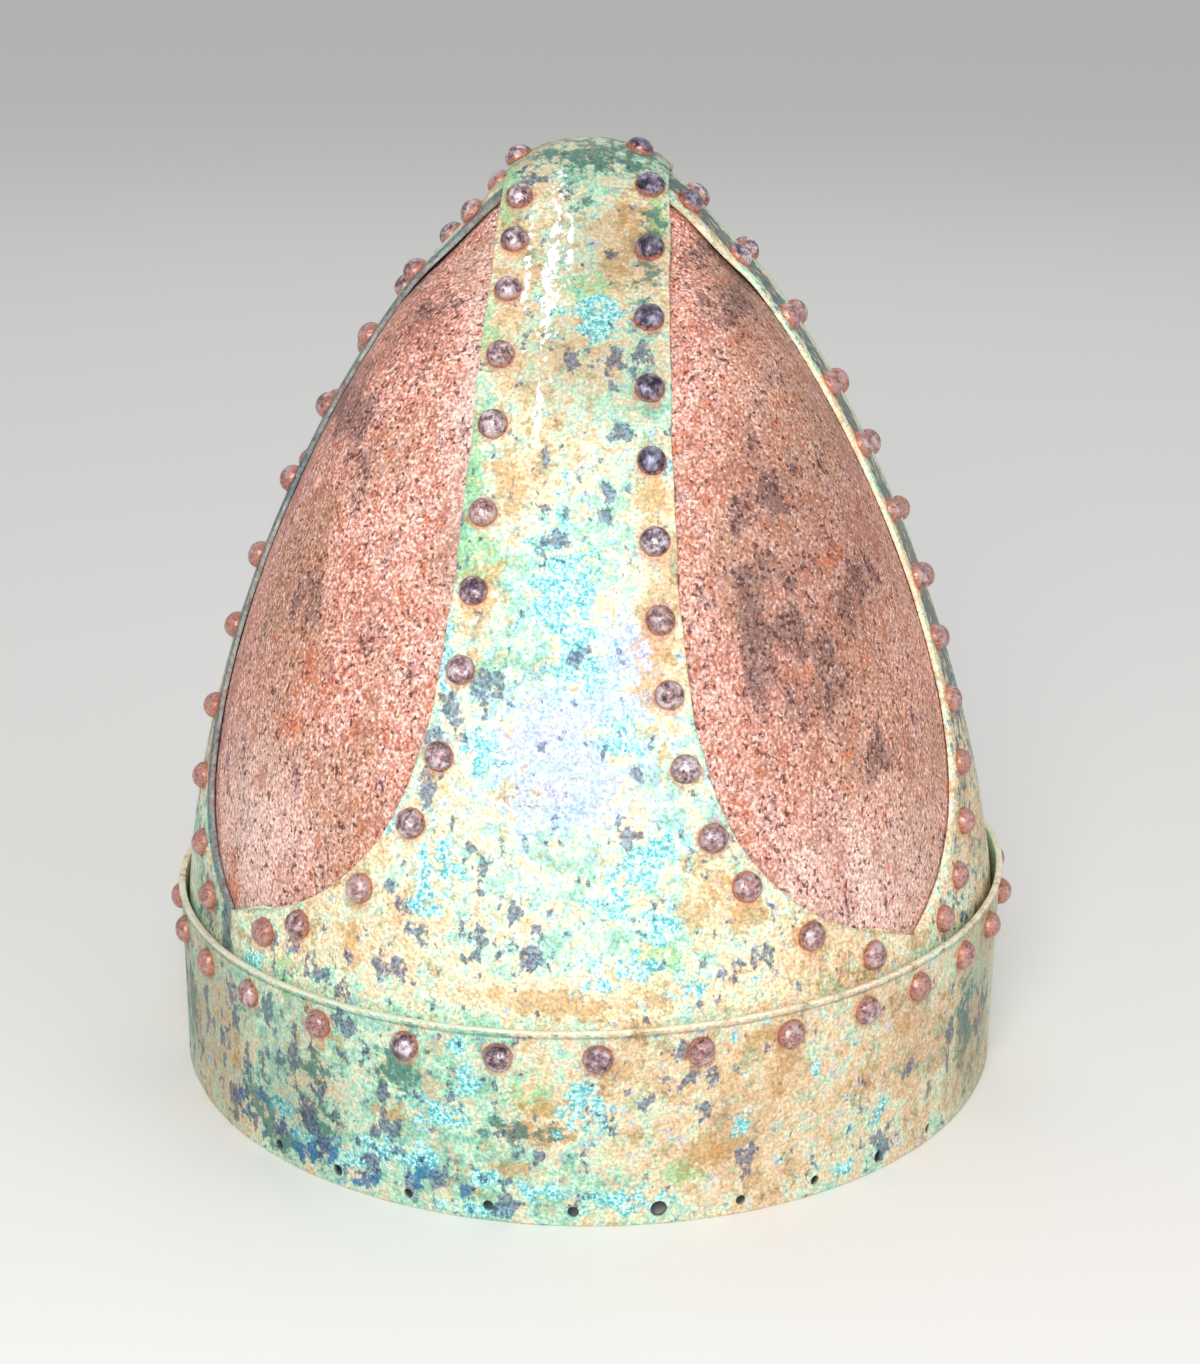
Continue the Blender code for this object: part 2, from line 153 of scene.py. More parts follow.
@dataclass(frozen=True)
class Dome:
    """The raised shell that straps and plates follow. Its outer face is the straps' outer face."""

    half_width: float = 98.1 * MM
    length_ratio: float = 1.11
    crown: float = 218.4 * MM
    shoulder: float = 36.2 * MM
    rise_power: float = 1.526
    side_power: float = 0.637
    softening: float = 0.10
    softening_from: float = 0.86
    shortening: float = 0.28
    shortening_from: float = 0.78
    squareness: float = 4.1
    squaring_power: float = 1.5
    lean_slope: float = -0.013
    lean_from: float = 45.6 * MM
    foot_bottom: float = 31.0 * MM
    ray_reach: float = 300 * MM
    ray_halvings: int = 34

    def section(self, height: Array, inset: Array | float) -> tuple[Array, Array, Array]:
        """The level section at a height.

        Args:
            height: Heights above the rim.
            inset: How far inside the straps' outer face.

        Returns:
            Half-width, half-length and superellipse exponent.
        """
        top = self.crown - inset
        rise = np.clip((height - self.shoulder) / (top - self.shoulder), 0, 1)
        power = self.side_power - self.softening * smoothstep(rise, self.softening_from, 1)
        width = (self.half_width - inset) * (1 - rise**self.rise_power) ** power
        length = width * (1 + (self.length_ratio - 1) * (1 - rise))
        length = length * (1 - self.shortening * smoothstep(rise, self.shortening_from, 1))
        return width, length, 2 + (self.squareness - 2) * rise**self.squaring_power

    def outside(self, points: Array, inset: Array | float) -> Array:
        """Whether points are outside the shell that lies inset inwards.

        Args:
            points: The points, in the last axis.
            inset: How far inside the straps' outer face the shell lies.

        Returns:
            True for each point that is outside.
        """
        width, length, exponent = self.section(points[..., 2], inset)
        across = (np.abs(points[..., 0]) / np.maximum(width, 1e-9)) ** exponent
        along = (np.abs(points[..., 1]) / np.maximum(length, 1e-9)) ** exponent
        return (across + along > 1) | (points[..., 2] >= self.crown - inset)

    def cast(self, start: Array, direction: Array, inset: Array | float = 0.0) -> Array:
        """Where rays from inside leave the shell.

        Args:
            start: Ray starts, inside the dome.
            direction: Ray directions.
            inset: How far inside the straps' outer face the shell lies.

        Returns:
            One point for each ray.
        """
        start, direction = np.broadcast_arrays(start, direction)
        near = np.zeros(start.shape[:-1])

        def is_inside(reach: Array) -> Array:
            """Whether the rays are still inside at this reach."""
            return ~self.outside(start + direction * reach[..., None], inset)

        with np.errstate(over="ignore"):
            near = halved(near, near + self.ray_reach, self.ray_halvings, is_inside)
        return start + direction * near[..., None]

    def leaned(self, points: Array) -> Array:
        """The points carried sideways with the dome's slight lean, which starts above the band.

        Args:
            points: Points of the upright dome.

        Returns:
            The leaning dome's points.
        """
        shifted = points.copy()
        shifted[..., 0] += self.lean_slope * np.maximum(points[..., 2] - self.lean_from, 0)
        return shifted


@dataclass(frozen=True)
class StrapShape:
    """A strap's outline: a slowly tapering neck and a foot that flares out below."""

    neck: float
    taper: float
    flare: float
    flare_height: float
    neck_height: float = 201 * MM
    corner_height: float = 51.3 * MM

    def half_width(self, height: Array | float) -> Array:
        """Half the width at a height, foot flare included."""
        flare = self.flare * np.exp(-(height - self.corner_height) / self.flare_height)
        return self.plain_half_width(height) + flare

    def plain_half_width(self, height: Array | float) -> Array:
        """Half the width at a height without the foot flare."""
        return self.neck + self.taper * (self.neck_height - np.asarray(height, float))


def crossing(height: Array) -> Array:
    """How far the sheets below the front-to-back strap have dropped at a height, in metres."""
    return CROSSING_DROP * smoothstep(height, *CROSSING_HEIGHTS)


FRONT_SHAPE = StrapShape(
    neck=19.3 * MM, taper=0.052, flare=51.3 * MM, flare_height=21.5 * MM
)
SIDE_SHAPE = StrapShape(neck=14.5 * MM, taper=0.070, flare=41.0 * MM, flare_height=29.0 * MM)


@dataclass(frozen=True)
class Leg:
    """One strap from its foot up to the crown."""

    dome: Dome
    shape: StrapShape
    side: Side
    seam_angle: float = 50.0
    seam_gap: float = 0.3 * MM
    rivet_inset: float = 4.6 * MM
    side_foot_shift: float = 2.6 * MM
    side_foot: tuple[float, float] = (95 * MM, 60 * MM)  # heights between which it grows
    seam_clearance: float = 3.7 * MM
    crown_margin: float = 4 * MM
    halvings: int = 26
    corner_between: tuple[float, float] = (2.0, 40.0)  # fan angles
    corner_halvings: int = 22
    reading_step: float = 0.6  # degrees either way from which the slope is read
    line_steps: int = 161

    def drop(self, height: Array) -> Array:
        """How far a side strap passes under the front-to-back strap at a height."""
        return crossing(height) if self.side.sideways else 0.0 * height

    def surface(self, lateral: Array | float, angle: Array | float) -> Array:
        """Points on the strap's outer face.

        Args:
            lateral: Distances sideways from the middle line.
            angle: Fan angles in degrees, 0 at the foot and 90 at the crown.

        Returns:
            One point for each pair.
        """
        lateral, turn = np.broadcast_arrays(np.asarray(lateral, float), np.radians(angle))
        start = lateral[..., None] * self.side.lateral
        start = start + self.dome.foot_bottom * UP
        aim = np.cos(turn)[..., None] * self.side.forward
        aim = aim + np.sin(turn)[..., None] * UP
        points = self.dome.cast(start, aim)
        if self.side.sideways:
            points = self.dome.cast(start, aim, self.drop(points[..., 2]))
        return points

    def angle_of(self, points: Array) -> Array:
        """Fan angles of points.

        Args:
            points: Points on the outer face.

        Returns:
            Degrees, 0 at the foot and 90 at the crown.
        """
        return np.degrees(
            np.arctan2(points[..., 2] - self.dome.foot_bottom, points @ self.side.forward)
        )

    def seam_half_width(self, angle: Array) -> Array:
        """Half-width out to the seam between neighbouring feet.

        Args:
            angle: Fan angles in degrees.

        Returns:
            One half-width for each angle.
        """
        seam = math.radians(90 - self.seam_angle if self.side.sideways else self.seam_angle)
        turn = np.radians(angle)[..., None]
        across = self.side.forward + self.side.lateral * math.tan(seam)
        aim = np.cos(turn) * across + np.sin(turn) * UP
        points = self.dome.cast(self.dome.foot_bottom * UP, aim)
        return points @ self.side.lateral - self.seam_gap / 2 / math.cos(seam)

    def free_half_width(self, angle: Array) -> Array:
        """Half-width from the strap's own outline at fan angles.

        Args:
            angle: Fan angles in degrees.

        Returns:
            One half-width for each angle.
        """

        def is_below(height: Array) -> Array:
            """Whether the outline at these heights is at a lower fan angle.

            Args:
                height: Heights above the rim.

            Returns:
                True for each height that is below.
            """
            start = self.shape.half_width(height)[..., None] * self.side.lateral
            start = start + height[..., None] * UP
            edge = self.dome.cast(start, self.side.forward, self.drop(height))
            return self.angle_of(edge) < angle

        low = np.full(np.shape(angle), self.dome.foot_bottom)
        high = np.full(np.shape(angle), self.dome.crown - self.crown_margin)
        return self.shape.half_width(halved(low, high, self.halvings, is_below))

    @cached_property
    def corner_angle(self) -> float:
        """The fan angle of the window's lower corner, where the outline meets the seam.

        Returns:
            Degrees.
        """

        def is_foot(angle: Array) -> Array:
            """Whether the seam still bounds the strap at this fan angle."""
            return self.seam_half_width(angle) < self.free_half_width(angle)

        low, high = (np.array(limit) for limit in self.corner_between)
        return float(halved(low, high, self.corner_halvings, is_foot))

    def width_at(self, angle: Array) -> Array:
        """The strap's half-width at fan angles.

        Args:
            angle: Fan angles in degrees.

        Returns:
            One half-width for each angle.
        """
        angle = np.asarray(angle, float)
        free, seam = self.free_half_width(angle), self.seam_half_width(angle)
        return np.where(angle <= self.corner_angle, seam, free)

    def normals(self, points: Array) -> Array:
        """Outward normals at points on the outer face.

        Args:
            points: The points.

        Returns:
            One normal for each point.
        """
        angle, lateral = self.angle_of(points), points @ self.side.lateral
        rise = self.surface(lateral, np.minimum(angle + self.reading_step, 89.9))
        rise = rise - self.surface(lateral, angle - self.reading_step)
        across = self.surface(lateral + MM, angle) - self.surface(lateral - MM, angle)
        found = unit(np.cross(across, rise))
        inwards = np.sum(found * (points - HEART), axis=-1) < 0
        return np.where(inwards[..., None], -found, found)

    def rivet_line(self) -> tuple[Array, Array]:
        """The line that the rivets follow beside the edge, from the crown down.

        Returns:
            The line's points and their normals.
        """
        angles = 90 - (90 - self.corner_angle) * np.linspace(0, 1, self.line_steps)
        path = self.surface(self.width_at(angles), angles)
        tangent = unit(path[2:] - path[:-2])
        path = path[1:-1]
        inward = unit(np.cross(tangent, self.normals(path)))
        inward[inward @ self.side.lateral > 0] *= -1
        top, bottom = self.side_foot
        shift = self.side_foot_shift * smoothstep(-path[:, 2], -top, -bottom)
        inset = self.rivet_inset + (shift if self.side.sideways else 0 * shift)
        place = path + inward * inset[:, None]
        angle = self.angle_of(place)
        seam = self.seam_half_width(angle) - self.seam_clearance
        line = self.surface(np.minimum(place @ self.side.lateral, seam), angle)
        return line, self.normals(line)


@dataclass
class Rivets:
    """Where rivets sit: their feet on the sheet's face, and which way they point."""

    feet: Array
    aims: Array

    @classmethod
    def down(
        cls, leg: Leg, pitches: Sequence[float], mirrored: bool = False, start: float = 0.0
    ) -> "Rivets":
        """Rivets down one edge of a leg.

        Args:
            leg: The strap's leg.
            pitches: Millimetres from each rivet to the next, from the crown down.
            mirrored: Whether they follow the leg's other edge.
            start: Metres along the edge before the first pitch.

        Returns:
            The rivets.
        """
        line, normals = leg.rivet_line()
        run = np.concatenate(([0], np.cumsum(np.linalg.norm(np.diff(line, axis=0), axis=1))))
        wanted = start + np.cumsum(pitches) * MM
        wanted = wanted[wanted <= run[-1]]
        feet = np.stack([np.interp(wanted, run, line[:, i]) for i in range(3)], axis=1)
        aims = unit(np.stack([np.interp(wanted, run, normals[:, i]) for i in range(3)], axis=1))
        if mirrored:
            flip = np.diag(1 - 2 * np.abs(leg.side.lateral))
            feet, aims = feet @ flip, aims @ flip
        return cls(leg.dome.leaned(feet), aims)

    def __add__(self, other: "Rivets") -> "Rivets":
        """Both sets together.

        Args:
            other: The other set.

        Returns:
            The rivets of both.
        """
        return Rivets(
            np.concatenate((self.feet, other.feet)), np.concatenate((self.aims, other.aims))
        )


# ---------------------------------------------------------------- meshes


def placed(name: str, data: bpy.types.ID) -> bpy.types.Object:
    """A new object of the scene, at the origin.

    Args:
        name: The object's name.
        data: Its mesh, light or camera.

    Returns:
        The new object.
    """
    made = bpy.data.objects.new(name, data)
    bpy.context.scene.collection.objects.link(made)
    return made


def plain_piece(
    name: str, verts: Sequence[Sequence[float]], edges: Sequence = (), faces: Sequence = ()
) -> bpy.types.Object:
    """A new object with a mesh of these vertices, edges and faces.

    Args:
        name: The piece's name.
        verts: One place for each vertex.
        edges: Pairs of vertex numbers.
        faces: Vertex numbers of each face.

    Returns:
        The new object.
    """
    mesh = bpy.data.meshes.new(name)
    mesh.from_pydata(verts, edges, faces)
    return placed(name, mesh)


def mesh_object(name: str, verts: Array, faces: list[tuple[int, ...]]) -> bpy.types.Object:
    """Makes a closed mesh with its faces outwards.

    Args:
        name: The piece's name.
        verts: One row for each vertex.
        faces: Vertex numbers, all wound alike.

    Returns:
        The new object.
    """
    piece = plain_piece(name, verts.tolist(), faces=faces)
    bm = bmesh.new()
    bm.from_mesh(piece.data)
    if bm.calc_volume(signed=True) < 0:
        bmesh.ops.reverse_faces(bm, faces=bm.faces)
    bm.to_mesh(piece.data)
    bm.free()
    soften(piece)
    return piece


def soften(piece: bpy.types.Object, angle: float = 50.0) -> None:
    """Shades a piece smooth, with creases kept where faces turn by more than angle."""
    piece.data.shade_smooth()
    piece.data.set_sharp_from_angle(angle=math.radians(angle))


def set_levels(piece: bpy.types.Object, name: str, values: Array) -> None:
    """Stores one number for each vertex.

    Args:
        piece: The piece.
        name: The name that the finish reads.
        values: One number for each vertex.
    """
    attribute = piece.data.attributes.get(name)
    attribute = attribute or piece.data.attributes.new(name, "FLOAT", "POINT")
    attribute.data.foreach_set("value", np.asarray(values, np.float32))


def places(piece: bpy.types.Object) -> Array:
    """The piece's vertices, one row each.

    Args:
        piece: The piece.

    Returns:
        Metres, in the piece's own frame.
    """
    found = np.empty(len(piece.data.vertices) * 3, np.float32)
    piece.data.vertices.foreach_get("co", found)
    return found.reshape(-1, 3).astype(float)


def zipped(first: Sequence[int], second: Sequence[int]) -> list[tuple[int, ...]]:
    """Triangles between two rows of vertices that run the same way, whatever their counts.

    Args:
        first: The first row's vertex numbers.
        second: The second row's.

    Returns:
        The triangles, all wound alike.
    """
    i = j = 0
    faces = []
    while i < len(first) - 1 or j < len(second) - 1:
        ahead = (i + 1) / max(len(first) - 1, 1) <= (j + 1) / max(len(second) - 1, 1)
        if j == len(second) - 1 or (ahead and i < len(first) - 1):
            faces.append((first[i], first[i + 1], second[j]))
            i += 1
        else:
            faces.append((first[i], second[j + 1], second[j]))
            j += 1
    return [face for face in faces if len(set(face)) == 3]


@dataclass(frozen=True)
class SheetCut:
    """How a sheet is cut across: its outer face, rounded edges and inner face as one loop."""

    thickness: float
    rounding: float
    columns: int
    inner_columns: int
    turns: tuple[float, ...] = (30.0, 60.0, 90.0)  # the steps of a rounded corner, in degrees

    @cached_property
    def loop(self) -> tuple[Array, Array, Array]:
        """The points round the loop.

        Returns:
            Across from -1 to 1, distance beyond that towards the edge, and depth.
        """
        r, t = self.rounding, self.thickness
        turns = np.radians(self.turns)
        beyond = np.concatenate((r * np.sin(turns), r * np.sin(turns[::-1])))
        depth = np.concatenate((r * (1 - np.cos(turns)), t - r * (1 - np.cos(turns[::-1]))))
        outer = np.linspace(-1, 1, self.columns + 1)
        inner = np.linspace(1, -1, self.inner_columns + 1)
        edge = np.ones(len(beyond))
        return (
            np.concatenate((outer, edge, inner, -edge)),
            np.concatenate((0 * outer, beyond, 0 * inner, beyond)),
            np.concatenate((0 * outer, depth, 0 * inner + t, depth[::-1])),
        )

    def faces(self, rows: int) -> list[tuple[int, ...]]:
        """Quads round and along the loops, with both ends closed.

        Args:
            rows: How many loops follow each other.

        Returns:
            Vertex numbers of each face.
        """
        count = len(self.loop[0])
        found: list[tuple[int, ...]] = []
        for row in range(rows - 1):
            base = row * count
            for k in range(count):
                right = (k + 1) % count
                found.append((base + k, base + right, base + count + right, base + count + k))
        outer = list(range(self.columns + 1))
        rest = list(range(self.columns + 1, count))
        cap = zipped(outer, [outer[0], *rest[::-1], outer[-1]])
        last = (rows - 1) * count
        found += [face[::-1] for face in cap]
        found += [tuple(last + k for k in face) for face in cap]
        return found


def grid_normals(points: Array) -> Array:
    """Outward normals of a grid of surface points, rows by columns.

    Args:
        points: The grid.

    Returns:
        One normal for each point.
    """
    found = unit(np.cross(np.gradient(points, axis=1), np.gradient(points, axis=0)))
    flip = np.sum(found * (points - HEART), axis=-1) < 0
    return np.where(flip[..., None], -found, found)


@dataclass
class Strap:
    """A bronze strap over one or two legs of the dome."""

    name: str
    legs: tuple[Leg, ...]
    cut: SheetCut
    rows_a_leg: int
    end_angle: float = 90.0
    foot_rows: int = 21
    swell: float = 0.13 * MM
    edge_wobble: float = 0.22 * MM
    pressed: float = 0.4 * MM
    pressed_reach: float = 1.6 * MM
    edge_waves: tuple[float, float] = (31, 57)
    edge_ease: tuple[float, float] = (1, 12)  # degrees above the corner
    coarse: float = 34 * MM
    fine: float = 11 * MM
    highlight_reach: float = 0.4 * MM
    highlight_depth: tuple[float, float] = (0.05 * MM, 0.28 * MM)
    edge_shade_reach: tuple[float, float] = (1.5 * MM, 4.0 * MM)
    dusk_edge: tuple[float, float] = (1.4 * MM, 3.2 * MM)
    dusk_front: tuple[float, float] = (-16 * MM, 2 * MM)
    dusk_rise: tuple[float, float] = (60 * MM, 110 * MM)
    edge_light: float = 1.0
    edge_shade: float = 0.0
    dusk: float = 0.0
    seed: float = 1.0

    def leg_rows(self, leg: Leg) -> Array:
        """Fan angles of one leg's rows, with one on the window's corner.

        Args:
            leg: The leg.

        Returns:
            Degrees, from the foot up.
        """
        foot = np.linspace(0, leg.corner_angle, self.foot_rows, endpoint=False)
        above = np.linspace(leg.corner_angle, self.end_angle, self.rows_a_leg)
        return np.concatenate((foot, above))

    def leg_grid(self, leg: Leg) -> tuple[Array, Array, Array]:
        """One leg's loops, from the foot up.

        Args:
            leg: The leg.

        Returns:
            Points on the outer face, each point's distance to the edge, and its depth.
        """
        across, beyond, depth = self.cut.loop
        angles = self.leg_rows(leg)
        half = leg.width_at(angles)
        free = smoothstep(angles, *(leg.corner_angle + ease for ease in self.edge_ease))
        turn, (slow, quick) = np.radians(angles), self.edge_waves
        wave = np.sin(turn * slow + self.seed) + 0.7 * np.sin(turn * quick + 2 * self.seed)
        half = (half + self.edge_wobble * wave * free * 0.6 - self.cut.rounding)[:, None]
        spread = np.arcsin(np.minimum(half / (leg.dome.half_width * 1.12), 0.95))
        lateral = half * np.sin(across * spread) / np.sin(spread)
        lateral = lateral + np.sign(across) * beyond
        grid = leg.surface(lateral, angles[:, None] + 0 * lateral)
        to_edge = half + self.cut.rounding - np.abs(lateral)
        return grid, to_edge, np.broadcast_to(depth, lateral.shape)

    def build(self) -> bpy.types.Object:
        """Makes the strap's mesh and stores how near each point is to its edge.

        Returns:
            The strap.
        """
        grids = [self.leg_grid(leg) for leg in self.legs]
        if len(grids) == 2:
            back = [part[::-1][1:] for part in grids[1]]
            grid, to_edge, depth = (np.concatenate(pair) for pair in zip(grids[0], back))
        else:
            grid, to_edge, depth = grids[0]
        normals = grid_normals(grid)
        flat = grid.reshape(-1, 3)
        swell = unevenness(flat, self.coarse, self.seed)
        swell = swell + 0.45 * unevenness(flat, self.fine, self.seed)
        pressed = self.pressed * np.exp(-np.maximum(to_edge, 0) / self.pressed_reach)
        offset = self.swell * swell.reshape(depth.shape) - depth - pressed
        solid = self.legs[0].dome.leaned(grid + normals * offset[..., None])
        piece = mesh_object(self.name, solid.reshape(-1, 3), self.cut.faces(len(solid)))
        self.store_levels(piece, flat, to_edge.ravel(), depth.ravel())
        return piece

    def store_levels(
        self, piece: bpy.types.Object, flat: Array, to_edge: Array, depth: Array
    ) -> None:
        """Stores the painted highlight on the cut edge, the painted shade line beside it, and the
        dark teal, partly painted shade, over the front half.

        Args:
            piece: The strap.
            flat: Each point's place on the outer face.
            to_edge: Each point's distance to the strap's edge.
            depth: How far each point is under the outer face.
        """
        # Painted highlight: the middle of the cut edge's thickness is made light.
        near = np.exp(-np.maximum(to_edge, 0) / self.highlight_reach)
        near *= smoothstep(depth, *self.highlight_depth)
        near *= smoothstep(self.cut.thickness - depth, *self.highlight_depth)
        set_levels(piece, "edge_near", self.edge_light * near)
        # Painted shade: a dark line along the strap's front edge.
        dark = (1 - smoothstep(to_edge, *self.edge_shade_reach)) * (flat[:, 1] < 0)
        set_levels(piece, "crease", self.edge_shade * dark)
        # Dark teal over the strap's front, partly painted shade, deeper higher up.
        face = smoothstep(to_edge, *self.dusk_edge)
        face *= smoothstep(-flat[:, 1], *self.dusk_front)
        high = 0.7 + 0.3 * smoothstep(flat[:, 2], *self.dusk_rise)
        set_levels(piece, "dusk", self.dusk * face * high)


@dataclass
class Plate:
    """One iron gore between two straps."""

    name: str
    dome: Dome
    x_sign: int
    y_sign: int
    cut: SheetCut
    inset: float = 1.9 * MM
    crossing_share: float = 1.3
    crossing_lead: float = 5 * MM
    overlap: float = 10 * MM
    bottom: float = 32.5 * MM
    top: float = 209.5 * MM
    rows: int = 150
    swell: float = 0.12 * MM
    coarse: float = 22 * MM
    fine: float = 6 * MM
    seed: float = 5.0

    def edges(self, height: Array, width: Array, length: Array) -> tuple[Array, Array]:
        """The azimuths between which the plate runs at a height, in degrees.

        Args:
            height: Heights above the rim.
            width: The dome's half-width there.
            length: The dome's half-length there.

        Returns:
            The azimuth of the edge by the front strap and of the one by the side strap.
        """
        front = (FRONT_SHAPE.plain_half_width(height) - self.overlap) / width
        side = (SIDE_SHAPE.plain_half_width(height) - self.overlap) / length
        near_front = np.degrees(np.arcsin(np.minimum(front, 1)))
        return near_front, np.degrees(np.arccos(np.minimum(side, 1)))

    def build(self) -> bpy.types.Object:
        """Makes the plate's mesh.

        Returns:
            The plate.
        """
        across, beyond, depth = self.cut.loop
        rise = np.sin(np.pi / 2 * np.linspace(0, 1, self.rows))
        height = (self.bottom + (self.top - self.bottom) * rise)[:, None]
        inset = self.inset + self.crossing_share * crossing(height + self.crossing_lead)
        width, length, _ = self.dome.section(height, inset)
        low, high = self.edges(height, width, length)
        azimuth = np.radians(low + (high - low) * (across + 1) / 2)
        azimuth = azimuth + np.sign(across) * beyond / width
        aim = np.stack((np.sin(azimuth), -np.cos(azimuth), 0 * azimuth), axis=-1)
        start = np.stack((0 * azimuth, 0 * azimuth, height + 0 * azimuth), axis=-1)
        grid = self.dome.cast(start, aim, inset + 0 * azimuth)
        normals = grid_normals(grid)
        signs = np.array([self.x_sign, self.y_sign, 1])
        flat = (grid * signs).reshape(-1, 3)
        swell = unevenness(flat, self.coarse, self.seed)
        swell = swell + 0.5 * unevenness(flat, self.fine, self.seed)
        offset = self.swell * swell.reshape(azimuth.shape) - depth
        solid = self.dome.leaned((grid + normals * offset[..., None]) * signs)
        return mesh_object(self.name, solid.reshape(-1, 3), self.cut.faces(len(solid)))


# ---------------------------------------------------------------- nodes


class Wiring:
    """Adds nodes to one tree and joins them."""

    def __init__(self, tree: bpy.types.NodeTree) -> None:
        """Keeps the tree."""
        self.tree = tree

    def add(self, kind: str, inputs: dict[Any, Any] | None = None, **settings: Any) -> Any:
        """Adds a node.

        Args:
            kind: The node's type.
            inputs: Sockets to join or numbers to set, by input name or place.
            settings: The node's own settings.

        Returns:
            The node.
        """
        node = self.tree.nodes.new(kind)
        for key, value in settings.items():
            setattr(node, key, value)
        for key, value in (inputs or {}).items():
            if isinstance(value, bpy.types.NodeSocket):
                self.tree.links.new(value, node.inputs[key])
            else:
                node.inputs[key].default_value = value
        return node

    def maths(self, prefix: str, operation: str, *values: Any) -> Socket:
        """One Math node of either kind of tree."""
        return self.add(prefix, dict(enumerate(values)), operation=operation).outputs[0]


class NodePiece(Wiring):
    """A geometry tree with named sizes, run once on a piece and then applied."""

    def __init__(self, name: str) -> None:
        """Starts an empty tree with a geometry coming in and one going out.

        Args:
            name: The tree's name.
        """
        super().__init__(bpy.data.node_groups.new(name, "GeometryNodeTree"))
        face = self.tree.interface
        face.new_socket("Geometry", in_out="INPUT", socket_type="NodeSocketGeometry")
        face.new_socket("Geometry", in_out="OUTPUT", socket_type="NodeSocketGeometry")
        self.values: dict[str, Any] = {}
        self.entry = self.add("NodeGroupInput")

    @property
    def geometry(self) -> Socket:
        """The geometry that comes in."""
        return self.entry.outputs["Geometry"]

    def size(self, name: str, value: Any, kind: str = "NodeSocketFloat") -> Socket:
        """Adds a named input.

        Args:
            name: The input's name.
            value: What the modifier sets it to.
            kind: The socket's type.

        Returns:
            The socket inside the tree.
        """
        made = self.tree.interface.new_socket(name, in_out="INPUT", socket_type=kind)
        self.values[made.identifier] = value
        return self.entry.outputs[name]

    def number(self, operation: str, *values: Any) -> Socket:
        """One Math node."""
        return self.maths("ShaderNodeMath", operation, *values)

    def vector(self, operation: str, *values: Any) -> Socket:
        """One Vector Math node."""
        return self.maths("ShaderNodeVectorMath", operation, *values)

    def join(self, x: Any, y: Any, z: Any) -> Socket:
        """A vector from three numbers."""
        return self.add("ShaderNodeCombineXYZ", {0: x, 1: y, 2: z}).outputs[0]

    def named(self, name: str, kind: str) -> Socket:
        """Reads a stored attribute."""
        node = self.add("GeometryNodeInputNamedAttribute", {"Name": name}, data_type=kind)
        return node.outputs["Attribute"]

    def aimed(self) -> Socket:
        """The rotation that turns +Z to each point's stored aim."""
        inputs = {"Vector": self.named("aim", "FLOAT_VECTOR")}
        return self.add("FunctionNodeAlignRotationToVector", inputs, axis="Z").outputs[0]

    def between(self, low: Sequence[float], high: Sequence[float], seed: Socket) -> Socket:
        """A random vector for each point, each part between low's and high's."""
        inputs = {0: low, 1: high, "Seed": seed}
        return self.add("FunctionNodeRandomValue", inputs, data_type="FLOAT_VECTOR").outputs[0]

    def on_points(self, points: Socket, shape: Socket, rotation: Socket, scale: Socket) -> Socket:
        """The shape set on every point."""
        inputs = {"Points": points, "Instance": shape, "Rotation": rotation, "Scale": scale}
        return self.add("GeometryNodeInstanceOnPoints", inputs).outputs[0]

    def move(self, geometry: Socket, **where: Socket) -> Socket:
        """Moves points to a Position or by an Offset."""
        return self.add("GeometryNodeSetPosition", {"Geometry": geometry, **where}).outputs[0]

    def end(self, geometry: Socket) -> None:
        """Realizes instances, sets the material input, and leads the result out.

        Args:
            geometry: The result.
        """
        real = self.add("GeometryNodeRealizeInstances", {0: geometry}).outputs[0]
        done = self.add(
            "GeometryNodeSetMaterial",
            {"Geometry": real, "Material": self.entry.outputs["Material"]},
        ).outputs[0]
        self.add("NodeGroupOutput", {"Geometry": done})

    def apply(self, piece: bpy.types.Object) -> None:
        """Runs the tree on a piece and keeps the result as its plain mesh.

        Args:
            piece: The piece that the tree runs on.
        """
        modifier = piece.modifiers.new(self.tree.name, "NODES")
        modifier.node_group = self.tree
        for identifier, value in self.values.items():
            modifier[identifier] = value
        bpy.context.view_layer.update()
        graph = bpy.context.evaluated_depsgraph_get()
        mesh = bpy.data.meshes.new_from_object(piece.evaluated_get(graph))
        piece.modifiers.remove(modifier)
        mesh.name = piece.name
        piece.data = mesh


def point_object(name: str, feet: Array, aims: Array, **levels: Array) -> bpy.types.Object:
    """An object of loose points, each with its aim and any named numbers.

    Args:
        name: The object's name.
        feet: Where the points are.
        aims: Which way each points.
        **levels: Named numbers, one for each point.

    Returns:
        The new object.
    """
    piece = plain_piece(name, feet.tolist())
    aim = piece.data.attributes.new("aim", "FLOAT_VECTOR", "POINT")
    aim.data.foreach_set("vector", np.asarray(aims, np.float32).ravel())
    for key, values in levels.items():
        set_levels(piece, key, values)
    return piece


